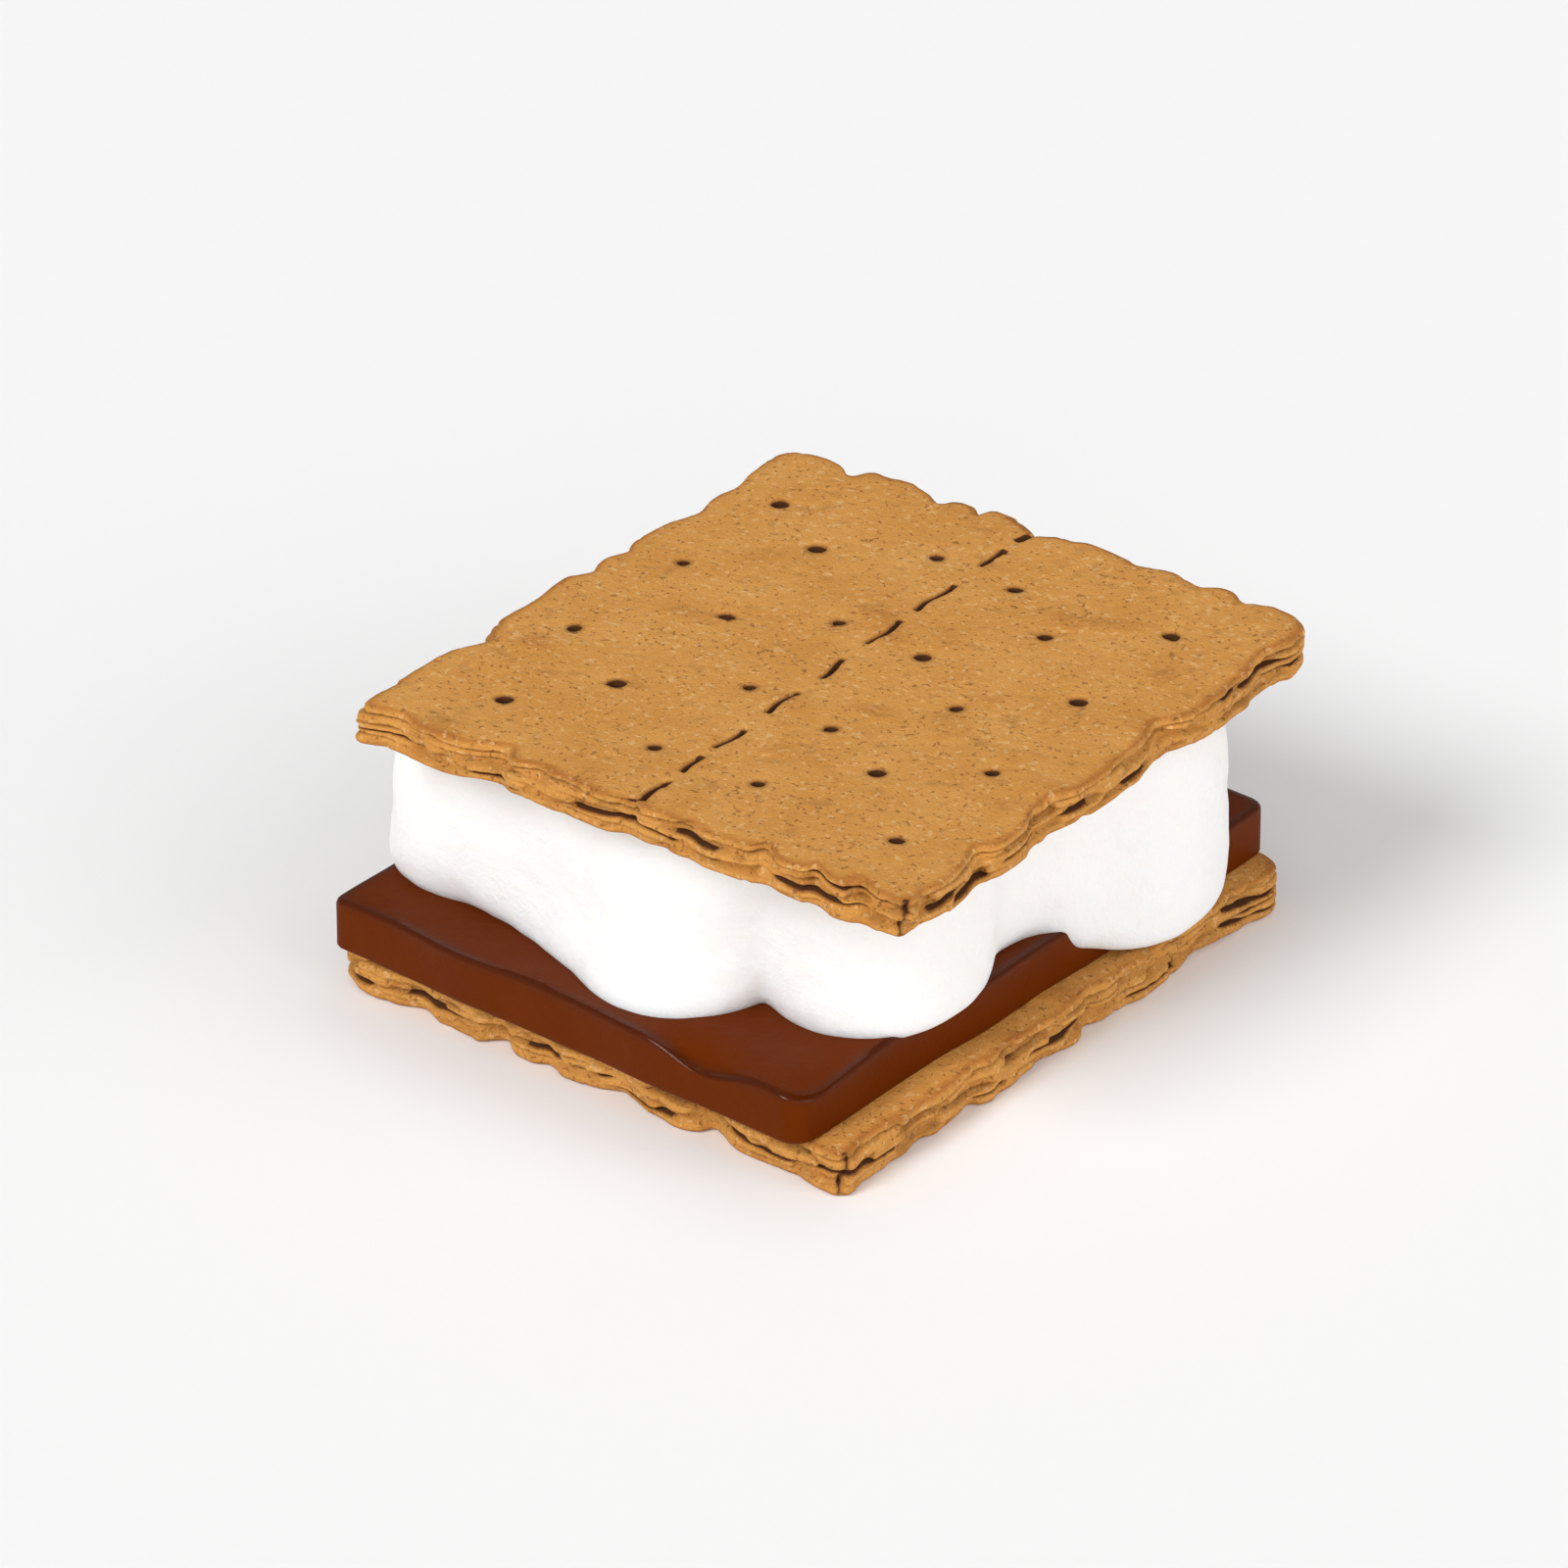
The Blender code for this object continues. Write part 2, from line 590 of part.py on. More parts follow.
def make_stack():
    """Clears the scene and makes the four pieces, each with its own material."""
    for existing in list(bpy.data.objects):
        bpy.data.objects.remove(existing, do_unlink=True)
    pieces = new_collection("smores")
    bites = ((BOTTOM_BITES, BOTTOM_BITE_SHARES),)
    bottom_shape = (BOTTOM_THICK, BOTTOM_CORNERS, bites, BOTTOM_BREAKS, BOTTOM_SEED)
    bites = ((TOP_BITES, TOP_BITE_SHARES), (TOP_LIPS, TOP_LIP_SHARES))
    top_shape = (TOP_THICK, TOP_CORNERS, bites, TOP_BREAKS, TOP_SEED)
    bottom = reshaped_drum(
        "bottom_cracker",
        cracker_rings(*bottom_shape, 0.0),
        pieces,
        plain_material("bottom cracker crumb", CRACKER_BROWN, CRACKER_ROUGHNESS),
    )
    pins = new_collection("bottom cracker cutters")
    add_hole_cutters(bottom, -1, 0.0, underside_holes(), pins)
    cut_from(bottom, pins)

    slab = reshaped_drum(
        "chocolate",
        chocolate_rings(0.0),
        pieces,
        plain_material("milk chocolate", CHOCOLATE_BROWN, CHOCOLATE_ROUGHNESS),
    )
    slab.location = (*CHOCOLATE_CENTRE, 0.0)
    slab.rotation_euler = (0.0, 0.0, CHOCOLATE_TURN)

    puff = reshaped_drum(
        "marshmallow",
        marshmallow_rings(),
        pieces,
        plain_material("marshmallow", MARSHMALLOW_WHITE, MARSHMALLOW_ROUGHNESS),
    )
    beds = new_collection("marshmallow cutters")
    clear_slab = reshaped_drum("space for chocolate", chocolate_rings(GAP), beds)
    clear_slab.location = slab.location
    clear_slab.rotation_euler = slab.rotation_euler
    reshaped_drum("space for bottom cracker", cracker_rings(*bottom_shape, GAP), beds)
    cut_from(puff, beds)

    top = reshaped_drum(
        "top_cracker",
        cracker_rings(*top_shape, 0.0),
        pieces,
        plain_material("top cracker crumb", CRACKER_BROWN, CRACKER_ROUGHNESS),
    )
    top.location = (*TOP_CENTRE, TOP_FLOOR)
    top.rotation_euler = (TOP_TILT, 0.0, TOP_TURN)
    pins = new_collection("top cracker cutters")
    add_hole_cutters(top, 1, TOP_THICK, top_holes(), pins)
    add_slot_cutters(top, pins)
    cut_from(top, pins)


make_stack()
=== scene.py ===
"""A s'more as it is laid together, piece by piece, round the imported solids.

Metres, +Z up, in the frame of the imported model: the origin is on the table, under the middle of
the bottom cracker, whose short sides lie along X and whose long sides lie along Y.
"""

import math

import bpy
import numpy as np
from mathutils import Euler, Matrix, Vector


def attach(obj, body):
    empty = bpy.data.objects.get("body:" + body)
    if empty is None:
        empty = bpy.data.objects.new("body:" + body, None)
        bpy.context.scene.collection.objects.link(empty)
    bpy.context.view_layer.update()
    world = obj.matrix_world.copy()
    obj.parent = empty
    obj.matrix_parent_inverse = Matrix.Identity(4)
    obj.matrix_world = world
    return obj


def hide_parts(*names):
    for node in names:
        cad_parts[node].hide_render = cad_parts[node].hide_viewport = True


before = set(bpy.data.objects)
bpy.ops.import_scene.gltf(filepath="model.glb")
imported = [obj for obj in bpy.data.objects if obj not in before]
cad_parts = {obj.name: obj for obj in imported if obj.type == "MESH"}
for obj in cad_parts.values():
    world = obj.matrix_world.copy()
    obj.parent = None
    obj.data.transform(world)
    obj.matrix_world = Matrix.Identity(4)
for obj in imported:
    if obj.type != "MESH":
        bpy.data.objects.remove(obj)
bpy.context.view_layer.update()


# The bottom cracker
#
# Half of a scored sheet of graham dough, rolled in thin layers, pricked with pins so that it stays
# flat, and baked hard. Its sides were snapped, so they are ragged and show the layers as flakes.
# It lies on the table with the pins' holes downwards and carries the rest.

MM = 0.001
CRACKER_WIDE = 63.8 * MM
CRACKER_LONG = 70.2 * MM
CRACKER_COLUMNS = 168
CRACKER_ROWS = 184
BOTTOM_THICK = 4.8 * MM
BOTTOM_CORNERS = (5.0 * MM, 1.2 * MM, 3.8 * MM, 4.0 * MM)
BOTTOM_SEED = 1
# Bites out of the rim, one tuple for each side in the order -Y, +X, +Y and -X. Each bite is (place
# along X or Y, depth, reach along the rim), all in mm; one with a depth below 0 stands out. The
# shares say how much of that depth a bite has at the underside and at the top.
BOTTOM_BITES = (
    ((-21, 0.8, 1.6), (-10.7, 1.9, 1.5), (-4.4, 1.1, 1.2), (5.5, 1.2, 2.8), (16.2, 1.8, 1.6)),
    ((-23, 0.9, 1.6), (-15.4, 0.6, 1.2), (3.4, 0.8, 1.2), (9, 0.5, 1.5), (21.8, 0.9, 2.8)),
    ((-22, 1.2, 1.8), (-9, 1.6, 1.5), (6, 1, 2.4), (19, 1.7, 1.6)),
    ((24, 1.2, 2.2), (10, 0.8, 1.6), (-6, 1.5, 2), (-21, 0.9, 1.8)),
)
BOTTOM_BITE_SHARES = (1.0, 0.5)
# Seeds of the broken stretches of each layer, the lowest first
BOTTOM_BREAKS = (31, 2067, 65, 2984, 35)
# Open cracks between layers, side by side as the bites. Each is (line between two layers, counted
# from the underside, place where it starts, place where it ends), the places in mm.
BOTTOM_CRACKS = (
    ((1, -31.5, -27), (2, -22, -12), (2, -6.5, 3), (1, 4.5, 11), (3, 14.5, 18.5), (2, 19, 31)),
    (
        (2, -34, -24), (1, -15.5, -11), (2, -5.5, 4), (1, 10, 17), (1, 26, 33.5),
        (2, 24.5, 33.5), (3, 26, 33.5),
    ),
    ((2, -29, -21), (1, -15, -7), (3, 1, 8), (2, 12, 24)),
    ((1, -32, -24), (3, -18, -9), (2, -3, 9), (1, 15, 23)),
)
TREAD = 0.6
LATTICE = 24


def smooth_step(value, low, high):
    """0 below low, 1 above high, and an S-shaped rise between."""
    t = np.clip((value - low) / (high - low), 0.0, 1.0)
    return t * t * (3.0 - 2.0 * t)


def bell(apart, reach):
    """1 at a distance of 0, and e to minus the square of the distance counted in reaches."""
    return np.exp(-((apart / reach) ** 2))


def ripple(turn, seed, waves):
    """A repeatable wavy line round a closed outline, mostly between -1 and 1.

    turn runs from 0 to 1 round it. The line is a sum of six cosines whose numbers of waves lie
    between 0.6 and 1.5 times `waves`, each with its own seeded phase.
    """
    chance = np.random.RandomState(seed)
    total = np.zeros_like(turn)
    for _ in range(6):
        count = round(waves * chance.uniform(0.6, 1.5))
        total = total + np.cos(2.0 * math.pi * (count * turn + chance.uniform()))
    return total * 0.36


def terraced(line):
    """A wavy line made 0.7 parts level treads, TREAD apart, with short slopes between."""
    whole = np.floor(line / TREAD)
    return 0.3 * line + 0.7 * TREAD * (whole + smooth_step(line / TREAD - whole, 0.3, 0.7))


def grain(places, cell, seed):
    """Smooth noise between -1 and 1 at places in space, with bumps about one cell across.

    Random values stand on a cubic lattice, turned at random, that repeats after LATTICE cells. The
    noise is the S-curve blend of the eight values round a place.
    """
    chance = np.random.RandomState(seed)
    values = chance.uniform(-1.0, 1.0, (LATTICE, LATTICE, LATTICE))
    turned = places @ np.linalg.qr(chance.normal(size=(3, 3)))[0] / cell
    whole = np.floor(turned).astype(int)
    share = smooth_step(turned - whole, 0.0, 1.0)
    total = 0.0
    for corner in np.ndindex(2, 2, 2):
        weight = np.prod(np.where(corner, share, 1.0 - share), axis=-1)
        i, j, k = np.moveaxis((whole + corner) % LATTICE, -1, 0)
        total = total + weight * values[i, j, k]
    return total


def lumpy(places, lumps, seed):
    """A sum of noises, one for each (height, width) in lumps, with seeds that count up."""
    return sum(high * grain(places, wide, seed + i) for i, (high, wide) in enumerate(lumps))


def spots(places, kind, seed):
    """0 to 1 in scattered spots of a kind: (width, noise where they start, noise where full)."""
    wide, low, high = kind
    return smooth_step(grain(places, wide, seed), low, high)


def lifted(plan, height):
    """Points in space over plan points, all at one height or each at its own."""
    return np.concatenate([plan, np.broadcast_to(height, plan.shape[:-1])[..., None]], axis=-1)


# The corners of a rectangle, anticlockwise, and the steps along its sides and round its corners
CORNERS = ((-1, -1), (1, -1), (1, 1), (-1, 1))
SIDE_STEPS = 400
CORNER_STEPS = 40
CORNER_REACH = 6.0 * MM


def rounded_rectangle(wide, long, radii):
    """Points round a rectangle whose corners are arcs of four radii, from its (-X, -Y) corner."""
    arcs = []
    for corner, ((sx, sy), radius) in enumerate(zip(CORNERS, radii)):
        angles = math.pi + (corner + np.linspace(0.0, 1.0, CORNER_STEPS + 1)) * math.pi / 2
        centre = np.array([sx * (wide / 2 - radius), sy * (long / 2 - radius)])
        arcs.append(centre + radius * np.stack([np.cos(angles), np.sin(angles)], axis=1))
    share = np.arange(1, SIDE_STEPS)[:, None] / SIDE_STEPS
    points = []
    for arc, following in zip(arcs, arcs[1:] + arcs[:1]):
        points += [arc, arc[-1] + share * (following[0] - arc[-1])]
    return np.concatenate(points)


class Rim:
    """The outline of a slab: a rounded rectangle with one place for each edge point of a grid.

    Each side gets equal steps from the middle of one corner's arc to the middle of the next.
    `turn` is how far round a place lies, from 0 to 1, and `inward` leads to a smaller rectangle,
    for one metre of moving in.
    """

    def __init__(self, wide, long, radii, columns, rows):
        outer = rounded_rectangle(wide, long, radii)
        smaller = [max(radius - CORNER_REACH, 0.4 * MM) for radius in radii]
        inner = rounded_rectangle(wide - 2 * CORNER_REACH, long - 2 * CORNER_REACH, smaller)
        lengths = np.linalg.norm(np.roll(outer, -1, axis=0) - outer, axis=1)
        walked = (np.cumsum(lengths) - lengths) / lengths.sum()
        middles = walked[CORNER_STEPS // 2 :: SIDE_STEPS + CORNER_STEPS]
        middles = np.append(middles, middles[0] + 1.0)
        counts = (columns, rows, columns, rows)
        sides = [
            np.linspace(start, end, count, endpoint=False)
            for start, end, count in zip(middles, middles[1:], counts)
        ]
        self.turn = np.concatenate(sides)

        def at_places(values):
            return np.interp(self.turn, walked, values, period=1.0)

        self.points = np.stack([at_places(axis) for axis in outer.T], axis=1)
        inward = (inner - outer) / CORNER_REACH
        self.inward = np.stack([at_places(axis) for axis in inward.T], axis=1)
        self.halves = (wide / 2, long / 2)

    def moved(self, amount):
        """The rim's plan points, moved in by an amount for each; amount may have many rows."""
        return self.points + self.inward * np.asarray(amount)[..., None]


def grid_rim(columns, rows):
    """Column and row numbers of the points round a grid's edge, anticlockwise from (0, 0)."""
    i = [np.arange(columns), np.full(rows, columns), np.arange(columns, 0, -1), np.zeros(rows)]
    j = [np.zeros(columns), np.arange(rows), np.full(columns, rows), np.arange(rows, 0, -1)]
    return np.concatenate(i).astype(int), np.concatenate(j).astype(int)


class Face:
    """A plan grid that fills a rim, for the top or the underside of a piece.

    A rectangular grid is laid over the rim. Each grid point belongs to the rim place that it
    points at from the middle, and moves with that place, by a share that rises from 0 at `fade`
    of the way out to 1 at the rim.
    """

    def __init__(self, edge, columns, rows, halves, fade=0.6):
        u, v = np.meshgrid(
            np.linspace(-1, 1, columns + 1), np.linspace(-1, 1, rows + 1), indexing="ij"
        )
        out = np.maximum(np.maximum(abs(u), abs(v)), 1e-6)
        across, along = u / out, v / out
        near = 1.0 - 1e-9
        sides = [along <= -near, across >= near, along >= near]
        places = [
            (1 + across) / 2 * columns,
            columns + (1 + along) / 2 * rows,
            columns + rows + (1 - across) / 2 * columns,
        ]
        self.place = np.select(sides, places, 2 * columns + rows + (1 - along) / 2 * rows)
        self.edge = grid_rim(columns, rows)
        self.plan = np.stack([u * halves[0], v * halves[1]], axis=-1)
        share = np.clip((out - fade) / (1.0 - fade), 0.0, 1.0) ** 2
        shift = edge - self.plan[self.edge]
        self.plan += share[..., None] * self.from_rim(shift)
        self.inset = np.minimum((1 - abs(u)) * halves[0], (1 - abs(v)) * halves[1])

    def from_rim(self, values):
        """Values of the rim's places, carried to the grid points that belong to them."""
        count = len(values)
        columns = values.reshape(count, -1).T
        spread = [np.interp(self.place, np.arange(count), c, period=count) for c in columns]
        return np.stack(spread, axis=-1).reshape(*self.place.shape, *values.shape[1:])


def new_object(name, data):
    """A new object in the scene."""
    made = bpy.data.objects.new(name, data)
    bpy.context.scene.collection.objects.link(made)
    return made


def closed_piece(name, top, underside, rings, finish, marks):
    """A closed mesh of four-cornered faces, smooth, with its finish and its marks.

    Two grids of points make the top and the underside. Rings of points, from low to high, join
    their edges. marks holds named values for the points of all three.
    """
    columns, rows = top.shape[0] - 1, top.shape[1] - 1
    i, j = grid_rim(columns, rows)
    upper = np.arange(top[..., 0].size).reshape(top.shape[:2])
    lower = upper + upper.size
    around = 2 * upper.size + np.arange(rings[..., 0].size).reshape(rings.shape[:2])
    around = np.vstack([lower[i, j], around, upper[i, j]])
    after = np.roll(around, -1, axis=1)
    side = np.stack([around[:-1], after[:-1], after[1:], around[1:]], axis=-1)
    above = np.stack([upper[:-1, :-1], upper[1:, :-1], upper[1:, 1:], upper[:-1, 1:]], axis=-1)
    below = above[..., ::-1] + upper.size
    faces = np.concatenate([part.reshape(-1, 4) for part in (side, above, below)])
    points = np.concatenate([part.reshape(-1, 3) for part in (top, underside, rings)])

    mesh = bpy.data.meshes.new(name)
    mesh.vertices.add(len(points))
    mesh.vertices.foreach_set("co", points.ravel())
    mesh.loops.add(faces.size)
    mesh.loops.foreach_set("vertex_index", faces.ravel())
    mesh.polygons.add(len(faces))
    mesh.polygons.foreach_set("loop_start", np.arange(0, faces.size, 4))
    mesh.update(calc_edges=True)
    mesh.shade_smooth()
    for mark, parts in marks.items():
        values = np.concatenate([np.ravel(part) for part in parts])
        mesh.attributes.new(mark, "FLOAT", "POINT").data.foreach_set("value", values)
    mesh.materials.append(finish)
    return new_object(name, mesh)


HOLE_RADIUS = 0.95 * MM
HOLE_DEPTH = 2.8 * MM
HOLE_FLOOR = 0.62
HOLE_PITCH = 16.3 * MM
# Columns of holes in half of a cracker, as (place across, how many)
HOLE_COLUMNS = ((-9.2 * MM, 4), (0.0, 3), (9.2 * MM, 4))
HALF_MIDDLE = 14.6 * MM
UNDERSIDE_SHIFT = (0.7 * MM, -1.2 * MM)
DIMPLE_RADIUS = 1.7 * MM
DIMPLE_DEPTH = 0.22 * MM
# Rings of grid points at a hole's middle, its floor's edge, its rim and RING_REACH
HOLE_RINGS = (0, 2, 4, 8)
RING_REACH = 2.5 * MM


def ringed(plan, hole):
    """A grid whose points near a hole lie on circles round it, so that the hole comes out round.

    The square rings of points round the nearest one become circles: the first for the hole's floor
    and wall. By the last ring the points are back where they were.
    """
    x, y, hole_radius = hole
    apart = np.hypot(plan[..., 0] - x, plan[..., 1] - y)
    ci, cj = np.unravel_index(apart.argmin(), apart.shape)
    i, j = np.ogrid[-ci : plan.shape[0] - ci, -cj : plan.shape[1] - cj]
    ring = np.maximum(abs(i), abs(j))
    angle = np.arctan2(j, i)
    radii = (0.0, HOLE_FLOOR * hole_radius, hole_radius, RING_REACH)
    radius = np.interp(ring, HOLE_RINGS, radii)[..., None]
    circle = np.array((x, y)) + radius * np.stack([np.cos(angle), np.sin(angle)], axis=-1)
    return circle + smooth_step(ring, *HOLE_RINGS[2:])[..., None] * (plan - circle)


def pricked(plan, holes):
    """A face's grid, ringed round its holes, and how far the pins push it in.

    A wide soft dimple, which is a bell, has a steep hole in it.
    """
    for hole in holes:
        plan = ringed(plan, hole)
    depth = np.zeros(plan.shape[:-1])
    for x, y, radius in holes:
        apart = np.hypot(plan[..., 0] - x, plan[..., 1] - y)
        hole = np.clip((1.0 - apart / radius) / (1.0 - HOLE_FLOOR), 0.0, 1.0)
        depth = depth + HOLE_DEPTH * hole + DIMPLE_DEPTH * bell(apart, DIMPLE_RADIUS)
    return plan, depth


# Swells and bumps of a baked face, as (height, width), and its scattered blisters and pores
FACE_LUMPS = ((0.10 * MM, 11 * MM), (0.05 * MM, 3.6 * MM), (0.045 * MM, 1.3 * MM))
BLISTERS = (4.2 * MM, 0.35, 0.8)
BLISTER_HEIGHT = 0.16 * MM
PORES = (1.15 * MM, 0.5, 0.8)
PORE_DEPTH = 0.14 * MM


def baked_relief(plan, seed):
    """Height of a baked face over its plane: long swells, small bumps, blisters and pores."""
    places = lifted(plan, 0.0)
    blister = spots(places, BLISTERS, seed + 3)
    pore = spots(places, PORES, seed + 4)
    relief = lumpy(places, FACE_LUMPS, seed) + BLISTER_HEIGHT * blister - PORE_DEPTH * pore
    return relief, blister, pore


def along_sides(points, sides):
    """Where a rim's points lie along each side's line, how far off it, and that side's values."""
    halves = (CRACKER_WIDE / 2, CRACKER_LONG / 2)
    for (along, way), values in zip(((0, -1), (1, 1), (0, 1), (1, -1)), sides):
        yield points[:, along], points[:, 1 - along] - way * halves[1 - along], values


# How far past its end a crack starts to close and is shut
CRACK_CLOSING = (0.2 * MM, 1.0 * MM)


def cracked(points, line, cracks):
    """How open, from 0 to 1, a line between two layers is at a rim's points.

    It is open along its cracks, and closes past their ends, 0.4 times as fast round a corner.
    """
    widest = np.zeros(len(points))
    for places, off_line, side in along_sides(points, cracks):
        for number, start, end in side:
            if number == line:
                from_middle = abs(places - (start + end) / 2 * MM)
                past_end = np.maximum(from_middle - (end - start) / 2 * MM, 0.0)
                apart = np.hypot(past_end, 0.4 * off_line)
                widest = np.maximum(widest, 1.0 - smooth_step(apart, *CRACK_CLOSING))
    return widest


LAYERS = 5
LAYER_SHARES = (0.16, 0.32, 0.5, 0.68, 0.84)
# Waver of the lines between layers, as (share of a layer, waves round the cracker)
LAYER_WAVERS = ((0.3, 15), (0.05, 70))
LAYER_RECESS = 0.7 * MM
SKIN_RECESS = 0.35 * MM
BREAK_WAVES = 17
BREAK_FULL = 0.35
CRACK_DEPTH = 0.9 * MM
CRACK_LIP = 0.3 * MM
LIP_REACH = 0.32


def cracker_side(rim, breaks, cracks, seed):
    """Heights from 0 to 1, depth moved in, and painted shade of each ring of a snapped side.

    The layers meet at evenly spaced lines that waver. Each layer is broken back along some
    stretches, which leaves ledges and flakes. A line has a ring of its own and is pressed in: deep
    along the open cracks, a little along hair cracks that come and go, and all along under the
    top's skin. The layers bend in beside it, by a share that falls to 0 at LIP_REACH of their
    thickness.
    """
    turn = rim.turn
    lines = [np.zeros_like(turn)]
    for layer in range(1, LAYERS):
        waver = sum(
            sway * ripple(turn, seed + 10 * kind + layer, waves)
            for kind, (sway, waves) in enumerate(LAYER_WAVERS, 1)
        )
        lines.append((layer + waver) / LAYERS)
    lines.append(np.ones_like(turn))
    backs = []
    for layer, break_seed in enumerate(breaks):
        recess = SKIN_RECESS if layer in (0, LAYERS - 1) else LAYER_RECESS
        backs.append(recess * smooth_step(ripple(turn, break_seed, BREAK_WAVES), 0.0, BREAK_FULL))
    opens = [np.zeros_like(turn)]
    for line in range(1, LAYERS):
        hair = 0.45 * smooth_step(ripple(turn, seed + 74 + line, 14), 0.0, 0.7)
        least = 0.4 if line == LAYERS - 1 else 0.0
        opens.append(np.maximum(np.maximum(hair, least), cracked(rim.points, line, cracks)))
    opens.append(np.zeros_like(turn))
    heights, depths, painted_side_shade = [], [], []
    for layer, (low, high) in enumerate(zip(lines, lines[1:])):
        for share in LAYER_SHARES:
            lip = max(0.0, 1.0 - share / LIP_REACH) * opens[layer] ** 2
            lip = lip + max(0.0, 1.0 - (1.0 - share) / LIP_REACH) * opens[layer + 1] ** 2
            heights.append(low + share * (high - low))
            depths.append(backs[layer] + CRACK_LIP * lip)
            # Painted shade: a recessed layer and the lips beside an open crack are darkened, where
            # shade falls
            painted_side_shade.append(0.25 * backs[layer] / LAYER_RECESS + lip)
        if layer < LAYERS - 1:
            heights.append(high)
            inner = np.maximum(backs[layer], backs[layer + 1])
            depths.append(inner + CRACK_DEPTH * opens[layer + 1])
            # Painted shade along the line between layers, darkest where the crack is open
            painted_side_shade.append(0.2 + 2.2 * opens[layer + 1] ** 2)
    return np.array(heights), np.array(depths), np.array(painted_side_shade), backs


def bitten(points, bites):
    """How far the bites move a rim's points in: each by a bell about its place on the side."""
    moved_in = np.zeros(len(points))
    for places, off_line, side in along_sides(points, bites):
        for place, depth, reach in side:
            apart = np.hypot(places - place * MM, off_line)
            moved_in = moved_in + depth * MM * bell(apart, reach * MM)
    return moved_in


SPLIT_REACH = 0.3 * MM
SPLIT_WAVER = 0.35 * MM


def corner_split(rim, columns, heights):
    """How open, from 0 to 1, the split down the corner towards +X and -Y is.

    The split is a bell in the distance round the rim, and sways by 0.9 waves over the height.
    """
    steps = np.linalg.norm(np.roll(rim.points, -1, axis=0) - rim.points, axis=1)
    walked = np.cumsum(steps) - steps
    sway = SPLIT_WAVER * np.sin(2.0 * math.pi * (0.9 * heights + 0.1))
    return bell(walked - walked[columns] + sway, SPLIT_REACH)


# Small nicks of the rim, as (height, width), and its few wider chips
NICKS = ((0.09 * MM, 1.2 * MM),)
CHIPS = (3.4 * MM, 0.35, 0.75)
CHIP_DEPTH = 0.3 * MM
EDGE_WAVE = 0.2 * MM
EDGE_WAVES = 24
TOP_DIP = 0.15 * MM
UNDERSIDE_DIP = 0.35 * MM
DIP_WAVES = 14
EDGE_LIFT = 0.12 * MM
EDGE_ROUND = 0.2 * MM
SHOULDER_INSET = 1.7 * MM
SHOULDER = (-0.4 * SHOULDER_INSET, SHOULDER_INSET)
FLOOR_CLEAR = 0.02 * MM
SPLIT_DEPTH = 0.35 * MM
# Crumbs and flat pores of the snapped side, fewer in the skin at its edges
SIDE_LUMPS = ((0.10 * MM, 2.6 * MM), (0.08 * MM, 0.9 * MM))
SIDE_PORES = (1.8 * MM, 0.25, 0.65)
SIDE_PORE_DEPTH = 0.22 * MM
SIDE_PORE_SQUASH = np.array((1.0, 1.0, 3.2))
SKIN_SHARE = 0.2
RIM_TOAST = 0.7
RIM_TOAST_WIDE = 0.8 * MM
# Where painted shade in a hole starts and is full, and painted shade in the side's pits per metre
HOLE_PAINTED_SHADE = (0.5 * DIMPLE_DEPTH, 0.16 * HOLE_DEPTH)
DEPTH_SHADE = 1500


